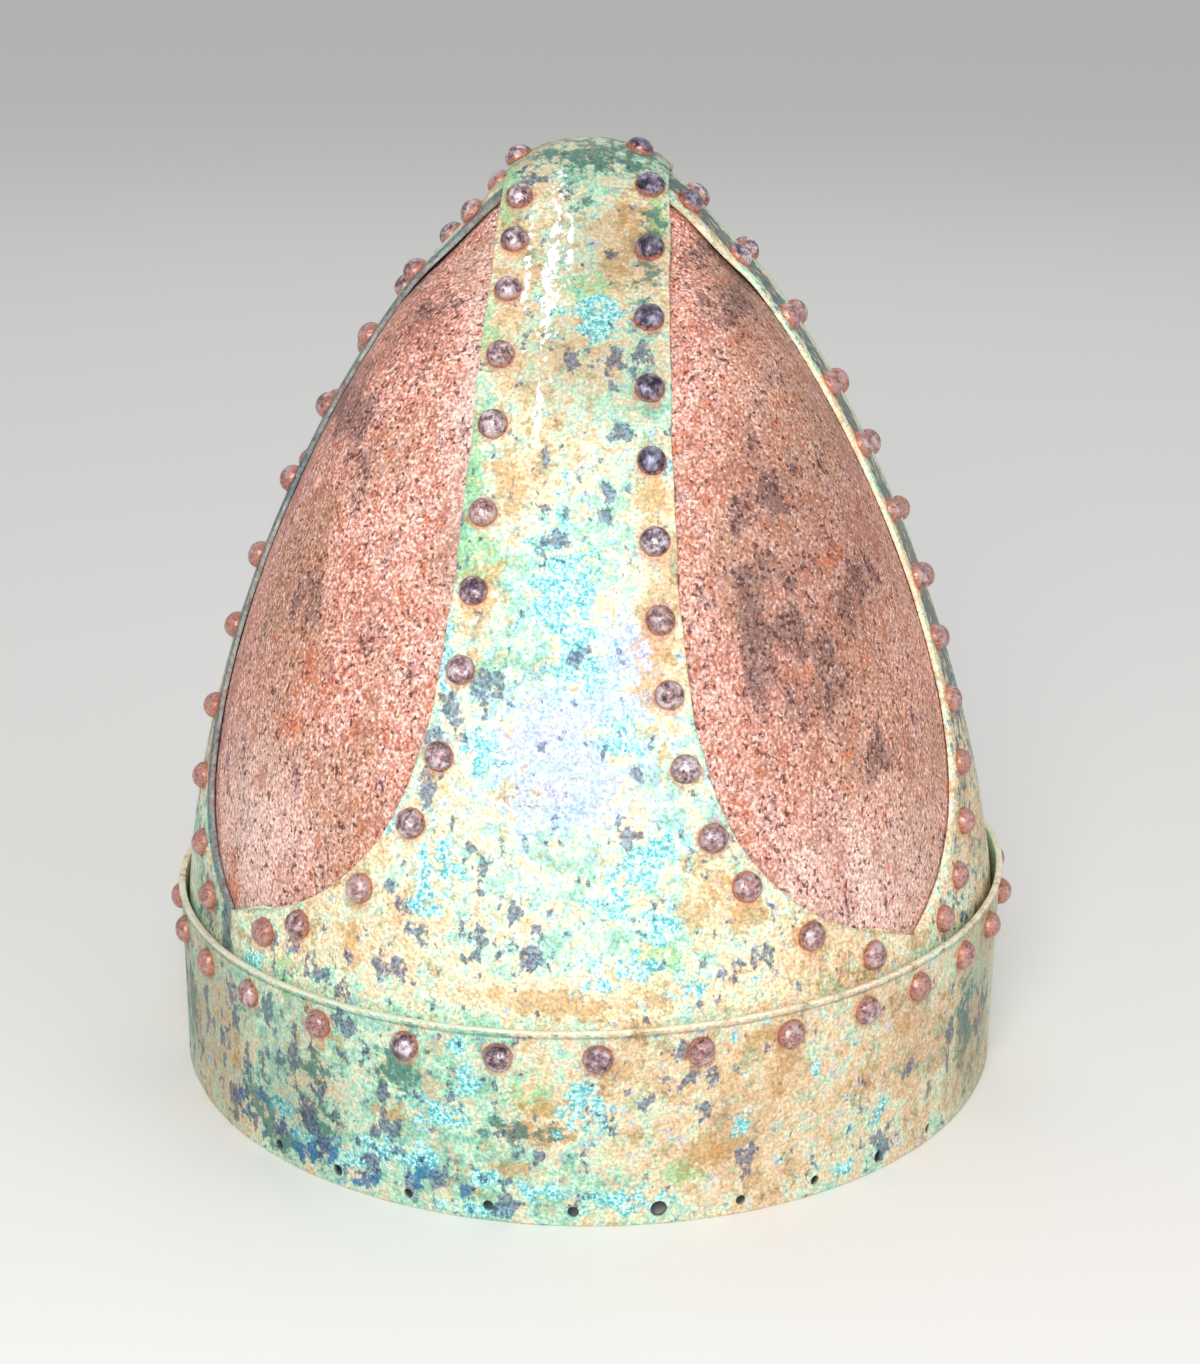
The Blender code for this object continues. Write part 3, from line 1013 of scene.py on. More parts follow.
@dataclass
class RivetHeads:
    """All the domed iron heads, hammered each a little differently."""

    rivets: Rivets
    tones: Array
    radius: float = 3.3 * MM
    height: float = 3.0 * MM
    sunk: float = 0.5 * MM
    hammering: float = 0.30 * MM
    blows: float = 430.0
    stretch: tuple[Triple, Triple] = ((0.94, 0.94, 0.88), (1.04, 1.04, 1.03))
    sides: int = 24
    rings: int = 12

    def build(self, material: bpy.types.Material) -> bpy.types.Object:
        """Sets one head on each foot.

        Args:
            material: The heads' finish.

        Returns:
            The heads as one mesh.
        """
        piece = point_object("rivet_heads", self.rivets.feet, self.rivets.aims, tone=self.tones)
        t = NodePiece("rivet heads")
        radius, height = t.size("Radius", self.radius), t.size("Height", self.height)
        sunk, depth = t.size("Sunk", self.sunk), t.size("Hammering", self.hammering)
        t.size("Material", material, "NodeSocketMaterial")
        seed = t.size("Seed", 7, "NodeSocketInt")
        ball = t.add(
            "GeometryNodeMeshUVSphere",
            {"Segments": self.sides, "Rings": self.rings, "Radius": 1.0},
        ).outputs["Mesh"]
        spot = t.add("ShaderNodeSeparateXYZ", {0: t.add("GeometryNodeInputPosition").outputs[0]})
        low = t.number("MULTIPLY", sunk, -1.0)
        dome = t.join(
            t.number("MULTIPLY", spot.outputs[0], radius),
            t.number("MULTIPLY", spot.outputs[1], radius),
            t.number("MAXIMUM", t.number("MULTIPLY", spot.outputs[2], height), low),
        )
        rise = t.number("MAXIMUM", spot.outputs[2], 0.0)
        ball = t.add(
            "GeometryNodeStoreNamedAttribute",
            {"Geometry": ball, "Name": "head_rise", "Value": rise},
            data_type="FLOAT",
            domain="POINT",
        ).outputs[0]
        ball = t.move(ball, Position=dome)
        ball = t.add("GeometryNodeSetShadeSmooth", {"Geometry": ball}).outputs[0]
        spin = t.add(
            "FunctionNodeRandomValue", {2: 0.0, 3: 6.28, "Seed": seed}, data_type="FLOAT"
        ).outputs[1]
        spin = t.add("FunctionNodeAxisAngleToRotation", {"Axis": (0, 0, 1), "Angle": spin})
        turn = t.add(
            "FunctionNodeRotateRotation",
            {"Rotation": t.aimed(), "Rotate By": spin.outputs[0]},
            rotation_space="LOCAL",
        ).outputs[0]
        stretch = t.between(*self.stretch, seed)
        heads = t.on_points(t.geometry, ball, turn, stretch)
        heads = t.add("GeometryNodeRealizeInstances", {0: heads}).outputs[0]
        blows = t.add(
            "ShaderNodeTexNoise", {"Scale": self.blows, "Detail": 2.0}, noise_dimensions="3D"
        ).outputs[0]
        push = t.number("MULTIPLY", t.number("SUBTRACT", blows, 0.5), depth)
        outwards = t.add("GeometryNodeInputNormal").outputs[0]
        push = t.vector("MULTIPLY", outwards, t.join(push, push, push))
        t.end(t.move(heads, Offset=push))
        t.apply(piece)
        return piece


@dataclass
class RivetEnds:
    """The flat peened ends of the rivets inside the helmet."""

    rivets: Rivets
    radius: float = 2.6 * MM
    height: float = 0.8 * MM
    top_share: float = 0.72
    looked_from: float = 12 * MM  # how far inside a head's foot the look outwards begins
    stand: float = 0.1 * MM
    stretch: tuple[Triple, Triple] = ((0.85, 0.85, 0.8), (1.12, 1.12, 1.1))
    sides: int = 12

    def build(
        self, skins: Sequence[bpy.types.Object], material: bpy.types.Material
    ) -> bpy.types.Object:
        """Sets an end on the innermost sheet behind each head.

        Args:
            skins: The sheets that the rivets hold.
            material: The ends' finish.

        Returns:
            The ends as one mesh.
        """
        piece = point_object("rivet_ends", *self.inner_feet(skins))
        t = NodePiece("rivet ends")
        radius, height = t.size("Radius", self.radius), t.size("Height", self.height)
        t.size("Material", material, "NodeSocketMaterial")
        seed = t.size("Seed", 3, "NodeSocketInt")
        disc = t.add(
            "GeometryNodeMeshCone",
            {
                "Vertices": self.sides,
                "Side Segments": 2,
                "Radius Top": t.number("MULTIPLY", radius, self.top_share),
                "Radius Bottom": radius,
                "Depth": height,
            },
            fill_type="NGON",
        ).outputs["Mesh"]
        stretch = t.between(*self.stretch, seed)
        t.end(t.on_points(t.geometry, disc, t.aimed(), stretch))
        t.apply(piece)
        return piece

    def inner_feet(self, skins: Sequence[bpy.types.Object]) -> tuple[Array, Array]:
        """Feet and aims of the ends, found by looking outwards from inside.

        Args:
            skins: The sheets that the rivets hold.

        Returns:
            One foot and one aim for each rivet that has a sheet behind it.
        """
        bm = bmesh.new()
        for skin in skins:
            bm.from_mesh(skin.data)
        tree = BVHTree.FromBMesh(bm)
        bm.free()
        feet, aims = [], []
        for foot, aim in zip(self.rivets.feet, self.rivets.aims):
            hit = tree.ray_cast(Vector(foot - aim * self.looked_from), Vector(aim))
            if hit[0] is not None:
                feet.append(np.array(hit[0]) - aim * self.stand)
                aims.append(-aim)
        return np.array(feet), np.array(aims)


@dataclass
class BrowBand:
    """The closed bronze band round the rim, with a turned lip and a row of lacing holes."""

    half_width: float = 100 * MM
    length_ratio: float = 1.11
    rim_taper: float = 0.993
    height: float = 45.6 * MM
    height_slope: float = 2.8 * MM
    upright: float = 9 * MM
    thickness: float = 1.2 * MM
    swell: float = 0.22 * MM
    swell_scale: float = 32.0
    segments: int = 540
    hole_count: int = 34
    first_hole: float = 2.5
    hole_radius: float = 1.25 * MM
    wide_hole_radius: float = 1.85 * MM
    hole_height: float = 3.6 * MM
    hole_drift: float = 0.25 * MM
    hole_unevenness: float = 0.12
    hole_sides: int = 16
    bore_depth: float = 8 * MM
    lip_light: float = 0.82
    lip_reach: tuple[float, float] = (0.3, 0.75)  # millimetres below the top
    rim_light: float = 0.8
    rim_reach: float = 0.7 * MM
    under_lip_shade: float = 0.7
    under_lip_shade_drop: float = 1.6  # millimetres below the top
    under_lip_shade_width: float = 0.4  # millimetres
    bore_shade: float = 1.2
    rivet_drop: float = 6.2 * MM
    rivet_stand: float = 0.1 * MM
    # Degrees from the front of the rivets that are spaced as listed.
    front_rivets: tuple[float, ...] = (
        -56.5, -44.8, -31.6, -18.8, -6.8, 5.3, 17.8, 29.6, 41.2, 50.9, 62.2, 72.6,
    )  # fmt: skip
    rivet_count: int = 31

    def top(self, angle: Array) -> Array:
        """The band's height at angles round its ellipse."""
        return self.height + self.height_slope * np.sin(np.radians(angle))

    def normal(self, angle: Array) -> Array:
        """Outward directions at angles round the ellipse."""
        turn = np.radians(angle)
        return unit(np.stack((np.sin(turn), -np.cos(turn) / self.length_ratio, 0 * turn), axis=-1))

    def point(self, angle: Array, height: Array, out: float = 0.0) -> Array:
        """Points on the band's outer face.

        Args:
            angle: Angles round the ellipse.
            height: Heights above the rim.
            out: How far outside the face.

        Returns:
            One point for each pair.
        """
        turn = np.radians(angle)
        rise = np.clip((height - self.upright) / (self.height - self.upright), 0, 1)
        half = self.half_width * (self.rim_taper + (1 - self.rim_taper) * rise)
        x, y = half * np.sin(turn), -half * self.length_ratio * np.cos(turn)
        return np.stack((x, y, height + 0 * turn), axis=-1) + self.normal(angle) * out

    def rivets(self) -> Rivets:
        """The row of rivets below the top edge: spaced as listed in front, even round the back.

        Returns:
            The rivets.
        """
        front = list(self.front_rivets)
        rest = self.rivet_count - len(front)
        step = (360 - (front[-1] - front[0])) / (rest + 1)
        angles = np.array(front + [front[-1] + step * (i + 1) for i in range(rest)])
        feet = self.point(angles, self.top(angles) - self.rivet_drop, self.rivet_stand)
        return Rivets(feet, self.normal(angles))

    def profile(self) -> list[tuple[float, float]]:
        """The closed cut through the band, from the rim up the outside and down the inside.

        Returns:
            Pairs of outwards and upwards, in metres.
        """
        top, t = self.height / MM, self.thickness / MM
        wall = [(0, up) for up in (0.55, 1.6, *range(3, 43, 2))]
        lip = [(-0.05, top - 2.3), (-0.1, top - 1.8), (0.02, top - 1.4), (0.26, top - 1.15)]
        lip += [(0.44, top - 0.8), (0.48, top - 0.45), (0.34, top - 0.12), (0.05, top)]
        lip += [(-0.5, top), (-t + 0.15, top - 0.2), (-t, top - 0.8)]
        inside = [(-t, up) for up in (top - 3, 38, 32, 26, 20, 14, 9, 4.5, 1.4, 0.5)]
        rim = [(-t + 0.2, 0.12), (-0.65, 0), (-0.3, 0.1)]
        return [(x * MM, y * MM) for x, y in wall + lip + inside + rim]

    def holes(self) -> tuple[Array, Array, Array]:
        """The row of lacing holes, one of them wider.

        Returns:
            Their middles, aims and bores.
        """
        count = np.arange(self.hole_count)
        angles = self.first_hole + 360 * count / self.hole_count
        bores = self.hole_radius * (1 + self.hole_unevenness * np.sin(count * 1.9))
        bores[1] = self.wide_hole_radius
        feet = self.point(angles, self.hole_height + self.hole_drift * np.sin(count * 2.3))
        return feet, self.normal(angles), bores

    def hole_points(self) -> bpy.types.Object:
        """The lacing holes' middles as a mesh of points."""
        feet, aims, bores = self.holes()
        return point_object("lacing_holes", feet, aims, bore=bores)

    def build(self, material: bpy.types.Material) -> bpy.types.Object:
        """Sweeps the cut round the ellipse, tapers and dents it, and bores the holes.

        Args:
            material: The band's finish.

        Returns:
            The band.
        """
        cut = self.profile()
        loop = [(i, (i + 1) % len(cut)) for i in range(len(cut))]
        piece = plain_piece("brow_band_skin", [(out, -up, 0) for out, up in cut], loop)
        holes = self.hole_points()
        t = NodePiece("brow band")
        half = t.size("Half Width", self.half_width)
        ratio = t.size("Length Ratio", self.length_ratio)
        height, slope = t.size("Height", self.height), t.size("Height Slope", self.height_slope)
        upright, taper = t.size("Upright", self.upright), t.size("Rim Taper", self.rim_taper)
        swell = t.size("Swell", self.swell)
        segments = t.size("Segments", self.segments, "NodeSocketInt")
        bores = t.size("Holes", holes, "NodeSocketObject")
        t.size("Material", material, "NodeSocketMaterial")
        spot = t.add("GeometryNodeInputPosition").outputs[0]
        parts = t.add("ShaderNodeSeparateXYZ", {0: spot}).outputs
        ring = t.add("GeometryNodeCurvePrimitiveCircle", {"Resolution": segments, "Radius": 1.0})
        oval = t.join(
            t.number("MULTIPLY", parts[0], half),
            t.number("MULTIPLY", t.number("MULTIPLY", parts[1], half), ratio),
            0.0,
        )
        ring = t.move(ring.outputs[0], Position=oval)
        line = t.add("GeometryNodeMeshToCurve", {"Mesh": t.geometry}).outputs[0]
        band = t.add("GeometryNodeCurveToMesh", {"Curve": ring, "Profile Curve": line}).outputs[0]
        rise = t.number("SUBTRACT", parts[2], upright)
        rise = t.number("DIVIDE", rise, t.number("SUBTRACT", height, upright))
        rise = t.add("ShaderNodeClamp", {"Value": rise}).outputs[0]
        shrink = t.number("SUBTRACT", 1.0, taper)
        shrink = t.number("MULTIPLY", shrink, t.number("SUBTRACT", 1.0, rise))
        shrink = t.number("SUBTRACT", 1.0, shrink)
        tilt = t.number("MULTIPLY", t.number("DIVIDE", parts[0], half), slope)
        tilt = t.number("MULTIPLY", tilt, rise)
        swells = {"Scale": self.swell_scale, "Detail": 2.0, "Roughness": 0.45}
        swells = t.add("ShaderNodeTexNoise", swells)
        swells = t.number("MULTIPLY", t.number("SUBTRACT", swells.outputs[0], 0.5), swell)
        swells = t.number("DIVIDE", t.number("MULTIPLY", swells, 2.0), half)
        grow = t.number("ADD", shrink, swells)
        shaped = t.join(
            t.number("MULTIPLY", parts[0], grow),
            t.number("MULTIPLY", parts[1], grow),
            t.number("ADD", parts[2], tilt),
        )
        band = t.move(band, Position=shaped)
        bore = t.add(
            "GeometryNodeMeshCylinder",
            {"Vertices": self.hole_sides, "Radius": 1.0, "Depth": self.bore_depth},
        ).outputs["Mesh"]
        marks = t.add("GeometryNodeObjectInfo", {"Object": bores}).outputs["Geometry"]
        wide = t.named("bore", "FLOAT")
        bore = t.on_points(marks, bore, t.aimed(), t.join(wide, wide, 1.0))
        bore = t.add("GeometryNodeRealizeInstances", {0: bore}).outputs[0]
        cutter = t.add("GeometryNodeMeshBoolean", {0: band}, operation="DIFFERENCE", solver="EXACT")
        t.tree.links.new(bore, cutter.inputs[1])
        t.end(cutter.outputs[0])
        t.apply(piece)
        bpy.data.objects.remove(holes)
        soften(piece)
        self.store_levels(piece)
        return piece

    def store_levels(self, piece: bpy.types.Object) -> None:
        """Stores painted highlights where the lip and the rim catch light, and painted shade under
        the lip and in the bores.

        Args:
            piece: The band.
        """
        points = places(piece)
        slope = self.height_slope * points[:, 0] / self.half_width
        down = (self.height + slope - points[:, 2]) / MM
        lip = self.lip_light * (1 - smoothstep(down, *self.lip_reach))
        rim = self.rim_light * np.exp(-points[:, 2] / self.rim_reach)
        set_levels(piece, "edge_near", np.maximum(lip, rim))
        # Painted shade in a narrow band under the lip.
        crease = np.exp(-(((down - self.under_lip_shade_drop) / self.under_lip_shade_width) ** 2))
        crease = self.under_lip_shade * crease
        # Painted shade on the walls inside the lacing holes.
        for foot, aim, bore in zip(*self.holes()):
            depth = (foot - points) @ aim
            off_axis = np.linalg.norm(points - foot + depth[:, None] * aim, axis=1)
            inside = (off_axis < bore + 0.2 * MM) & (depth > 0.4 * MM) & (depth < 3 * MM)
            crease[inside] = self.bore_shade
        set_levels(piece, "crease", crease)


# ---------------------------------------------------------------- stains and painted light


class Tint(Enum):
    """The kinds of stain, painted shade and painted highlight that are placed one by one. Each is
    stored under its value's name.
    """

    SLATE = "slate"  # dark blue-grey
    SKY = "sky"  # turquoise to pale cyan
    OCHRE = "ochre"  # orange-tan
    LEAF = "leaf"  # yellow-green
    TEAL = "teal"  # deep green
    LILAC = "lilac"  # cool grey-violet haze
    FROST = "frost"  # painted highlight: a bright upright sheen, on the straps partly real scratches
    GLOOM = "gloom"  # dark clouds in the iron's rust
    AZURE = "azure"  # deep blue crusts by the rim
    WARM = "warm"  # more tan than mint
    COOL = "cool"  # more mint than tan
    SHADE = "shade"  # painted shade, partly dirt, that dims what is under it


Patch = tuple[float, float, float, float]
PATCH_FADE = 0.7  # how steeply a patch fades outwards

# Patches on the straps' front: middle across and up, then width and height, in millimetres.
STRAP_PATCHES: dict[Tint, tuple[Patch, ...]] = {
    Tint.TEAL: (
        (0, 215, 40, 7), (-2, 207, 5, 4), (13, 196, 6, 20), (-84, 48, 10, 12), (86, 120, 8, 60),
        (-92, 100, 12, 80), (-70, 160, 14, 60), (-50, 195, 20, 30), (50, 192, 24, 34),
    ),
    Tint.SHADE: (
        (0, 214, 50, 14), (4, 198, 36, 22), (2, 176, 40, 24), (-84, 50, 12, 14),
    ),
    Tint.COOL: (
        (-22, 145, 8, 60), (0, 135, 30, 56), (0, 211, 40, 12), (6, 162, 30, 22),
        (-20, 80, 24, 30), (10, 75, 34, 40), (10, 196, 8, 20),
    ),
    Tint.WARM: (
        (60, 175, 22, 50), (76, 135, 20, 60), (90, 90, 14, 60), (12, 196, 18, 28),
        (-16, 192, 14, 40), (0, 178, 36, 10), (-8, 152, 16, 10), (19, 140, 8, 40),
        (-35, 58, 34, 18), (50, 55, 40, 20), (0, 52, 60, 8), (36, 66, 20, 16),
    ),
    Tint.LEAF: (
        (-20, 207, 5, 16), (-21, 180, 6, 12), (14, 203, 4, 16), (-22, 155, 4, 26),
        (-20, 137, 10, 14), (1, 189, 12, 6), (-62, 47, 9, 5), (-35, 100, 8, 8), (20, 60, 14, 8),
    ),
    Tint.FROST: ((-8, 192, 5, 44), (-13.5, 194, 2, 26), (-4.5, 196, 2, 24), (-9, 166, 3, 20)),
    Tint.SKY: (
        (3, 184, 13, 9), (-2, 131, 15, 26), (2, 118, 13, 14), (22, 82, 9, 7), (16, 77, 10, 8),
        (12, 71, 9, 9), (21, 66, 8, 9), (17, 58, 10, 7), (9, 56, 8, 6), (29, 53, 8, 5),
        (-25, 78, 8, 9), (-29, 68, 8, 9), (-18, 100, 12, 10), (-26, 116, 4, 16), (12, 103, 9, 9),
        (18, 156, 7, 5), (-70, 44, 6, 5), (-40, 84, 9, 9),
    ),
    Tint.SLATE: (
        (-2, 176, 7, 5), (7, 176, 6, 5), (13, 178, 5, 6), (-13, 184, 4, 3), (-14, 211, 4, 3),
        (-5, 208, 3, 3), (-7, 155, 4, 6), (-3, 159, 4, 3), (9, 162, 6, 3), (7, 150, 4, 4),
        (11, 151, 3, 3), (7, 146, 5, 4), (-4, 141, 9, 4), (-5, 147, 3, 2), (2, 119, 5, 4),
        (-18, 112, 9, 8), (-24, 108, 8, 5), (-28, 102, 5, 5), (-28, 93, 6, 9), (-24, 85, 6, 5),
        (-20, 81, 5, 6), (-16, 77, 5, 6), (-37, 71, 6, 4), (-34, 67, 6, 4), (-35, 54, 9, 4),
        (-30, 62, 7, 4), (-18, 63, 6, 5), (-10, 68, 6, 4), (-5, 63, 6, 5), (-8, 57, 5, 3),
        (36, 54, 6, 3), (44, 58, 7, 4), (18, 46, 7, 3), (31, 49, 6, 3), (-62, 50, 8, 7),
        (13, 84, 6, 5), (-52, 47, 9, 4),
    ),
    Tint.LILAC: ((4, 109, 26, 12), (-3, 100, 30, 16), (0, 92, 26, 12), (12, 120, 12, 10)),
    Tint.OCHRE: (
        (31, 75, 12, 9), (28, 69, 8, 6), (39, 67, 9, 6), (-1, 50, 40, 6), (18, 118, 8, 20),
        (8, 199, 10, 22), (-19, 128, 9, 16), (16, 150, 8, 16), (77, 51, 9, 5), (-46, 56, 12, 8),
        (-72, 48, 9, 4), (52, 60, 12, 6), (-14, 152, 9, 22),
    ),
}  # fmt: skip

# Patches on the brow band: middle in degrees round and millimetres up, then width and height
# in millimetres.
BAND_PATCHES: dict[Tint, tuple[Patch, ...]] = {
    Tint.SLATE: (
        (-36, 24, 9, 8), (-32, 16, 8, 9), (-29, 9, 7, 8), (-42, 6, 9, 6), (-37, 7, 6, 6),
        (-47, 8, 7, 8), (-46, 31, 5, 12), (-56, 26, 5, 18), (-20, 17, 9, 8), (-20, 26, 5, 5),
        (-13, 8, 6, 6), (-5, 5, 7, 4), (-3, 18, 5, 4), (-6, 21, 5, 3), (-25, 39, 7, 5),
        (-24, 32, 8, 6), (-38, 36, 4, 9), (16, 34, 7, 6), (13, 41, 7, 3), (6, 24, 4, 4),
        (2, 17, 6, 3), (10, 30, 5, 3), (22, 13, 5, 12), (17, 26, 4, 4), (47, 22, 6, 5),
        (52, 12, 6, 6), (57, 24, 6, 14), (42, 7, 8, 7), (70, 20, 14, 18), (-70, 22, 10, 20),
        (-50, 20, 4, 12), (-44, 16, 4, 12), (-40, 22, 4, 10), (-34, 28, 4, 9), (-30, 21, 4, 8),
        (-26, 15, 5, 7), (-22, 7, 6, 5), (-17, 5, 6, 4), (-60, 14, 5, 14),
    ),
    Tint.SKY: (
        (-11, 41, 6, 6), (-10, 33, 5, 11), (-13, 24, 12, 8), (-21, 12, 10, 8), (-15, 12, 10, 9),
        (-26, 8, 12, 8), (-8, 10, 8, 5), (-32, 9, 12, 6), (-36, 14, 8, 8), (-8, 3, 16, 3),
        (3, 29, 10, 12), (41, 14, 8, 7), (36, 4, 8, 4), (31, 31, 5, 4), (21, 22, 6, 5),
        (8, 6, 18, 6), (20, 42, 4, 3), (-2, 8, 12, 4),
    ),
    Tint.TEAL: (
        (-40, 12, 20, 12), (-30, 12, 18, 12), (-18, 33, 12, 12), (-30, 26, 12, 10),
        (62, 24, 14, 26), (-64, 20, 12, 30), (-4, 22, 20, 6), (-36, 6, 34, 8),
    ),
    Tint.AZURE: (
        (-36, 9, 7, 6), (-28, 8, 8, 7), (-15, 10, 4, 5), (-10, 6, 4, 4), (-40, 14, 5, 6),
        (-46, 9, 9, 8), (-32, 5, 9, 6), (-23, 4, 10, 5), (-16, 6, 5, 5),
    ),
    Tint.SHADE: ((-52, 24, 40, 60), (-34, 18, 30, 30), (68, 24, 30, 60), (-66, 24, 20, 60)),
    Tint.COOL: ((-14, 22, 60, 50), (-36, 20, 34, 40), (4, 10, 40, 16), (-2, 34, 20, 14)),
    Tint.WARM: ((24, 26, 60, 50), (46, 28, 34, 40), (-48, 24, 10, 30), (14, 20, 20, 14)),
    Tint.LEAF: ((-25, 7, 6, 5), (-35, 42, 6, 5), (-20, 30, 6, 5), (-2, 30, 14, 8), (14, 12, 10, 6)),
    Tint.OCHRE: (
        (-46, 20, 8, 10), (-19, 22, 7, 6), (-9, 7, 5, 4), (-4, 13, 14, 5), (-2, 22, 14, 6),
        (23, 42, 9, 4), (7, 37, 10, 8), (26, 32, 8, 12), (38, 24, 8, 6), (18, 16, 12, 8),
        (45, 34, 10, 6), (-1, 27, 12, 8), (-30, 36, 12, 10),
    ),
}  # fmt: skip

# Patches on the front plates, given as the straps' are.
PLATE_PATCHES: dict[Tint, tuple[Patch, ...]] = {
    Tint.GLOOM: (
        (47, 121, 14, 18), (50, 108, 16, 14), (39, 132, 16, 16), (66, 93, 11, 10),
        (25, 194, 8, 10), (32, 186, 10, 12), (-60, 125, 10, 16), (-44, 120, 9, 8),
        (-36, 182, 12, 12), (40, 150, 14, 14), (60, 126, 10, 12), (-52, 160, 14, 18),
        (42, 118, 12, 22), (54, 118, 10, 14), (30, 196, 14, 12),
    ),
    Tint.WARM: ((62, 110, 22, 60), (46, 160, 34, 70), (30, 195, 14, 20), (-66, 95, 10, 30)),
    Tint.FROST: ((60, 62, 40, 40), (-22, 160, 10, 70), (-70, 70, 26, 40)),
    Tint.OCHRE: ((-78, 57, 8, 12), (-56, 110, 7, 14), (55, 135, 6, 5), (-62, 98, 8, 8)),
    Tint.SHADE: ((46, 132, 34, 70), (40, 185, 24, 20)),
}  # fmt: skip


def patch_levels(across: Array, up: Array, patches: Sequence[Patch]) -> Array:
    """How deep a tint is at each place.

    Args:
        across: Places across, in millimetres.
        up: Places up, in millimetres.
        patches: The tint's patches.

    Returns:
        0 outside every patch, towards 1 in the middle of one.
    """
    levels = np.zeros(len(across))
    for x, z, wide, tall in patches:
        reach = ((across - x) * 2 / wide) ** 2 + ((up - z) * 2 / tall) ** 2
        levels = np.maximum(levels, np.exp(-PATCH_FADE * reach))
    return levels


def stain_front(piece: bpy.types.Object, stains: dict[Tint, tuple[Patch, ...]]) -> None:
    """Stores the patches of the helmet's front on a piece.

    Args:
        piece: The piece.
        stains: The patches of each tint.
    """
    points = places(piece)
    # Towards the crown the patches reach further back.
    above = np.maximum(points[:, 2] - 180 * MM, 0)
    facing = smoothstep(0.8 * above - points[:, 1], -4 * MM, 20 * MM)
    for tint, patches in stains.items():
        levels = patch_levels(points[:, 0] / MM, points[:, 2] / MM, patches)
        set_levels(piece, tint.value, levels * facing)


BAND_ARC = 1.83  # millimetres along the band for each degree
HALO_START = 3.1 * MM  # where a rivet's rust begins to fade, from its middle
HALO_REACH = 1.7 * MM  # how fast it fades


def stain_round(piece: bpy.types.Object, stains: dict[Tint, tuple[Patch, ...]]) -> None:
    """Stores the brow band's patches, which are placed by angle.

    Args:
        piece: The band.
        stains: The patches of each tint.
    """
    points = places(piece)
    angle = np.degrees(np.arctan2(points[:, 0], -points[:, 1]))
    for tint, patches in stains.items():
        arc = [(x * BAND_ARC, z, wide, tall) for x, z, wide, tall in patches]
        set_levels(piece, tint.value, patch_levels(angle * BAND_ARC, points[:, 2] / MM, arc))


def rust_halo(piece: bpy.types.Object, rivets: Rivets) -> None:
    """Stores how near each point is to a rivet's head, reaching further below a rivet.

    Args:
        piece: The piece.
        rivets: The rivets that go through it.
    """
    points = places(piece)
    nearest = np.full(len(points), 1.0)
    for foot in rivets.feet:
        away = points - foot
        away[:, 2] *= np.where(away[:, 2] < 0, 0.8, 1.15)
        nearest = np.minimum(nearest, np.linalg.norm(away, axis=1))
    beyond = np.maximum(nearest - HALO_START, 0)
    set_levels(piece, "rivet_near", np.exp(-beyond / HALO_REACH))


# ---------------------------------------------------------------- finishes


def tone(value: Any) -> Any:
    """What a colour socket takes for a value.

    Args:
        value: A colour from 0 to 255 as it looks, a float for an even grey, or what is already
            linear: four floats or a socket.

    Returns:
        The same in the shader's linear light.
    """
    if isinstance(value, float):
        return (value, value, value, 1.0)
    if isinstance(value, bpy.types.NodeSocket) or len(value) == 4:
        return value
    parts = (part / 255 for part in value)
    linear = (c / 12.92 if c <= 0.04045 else ((c + 0.055) / 1.055) ** 2.4 for c in parts)
    return (*linear, 1.0)


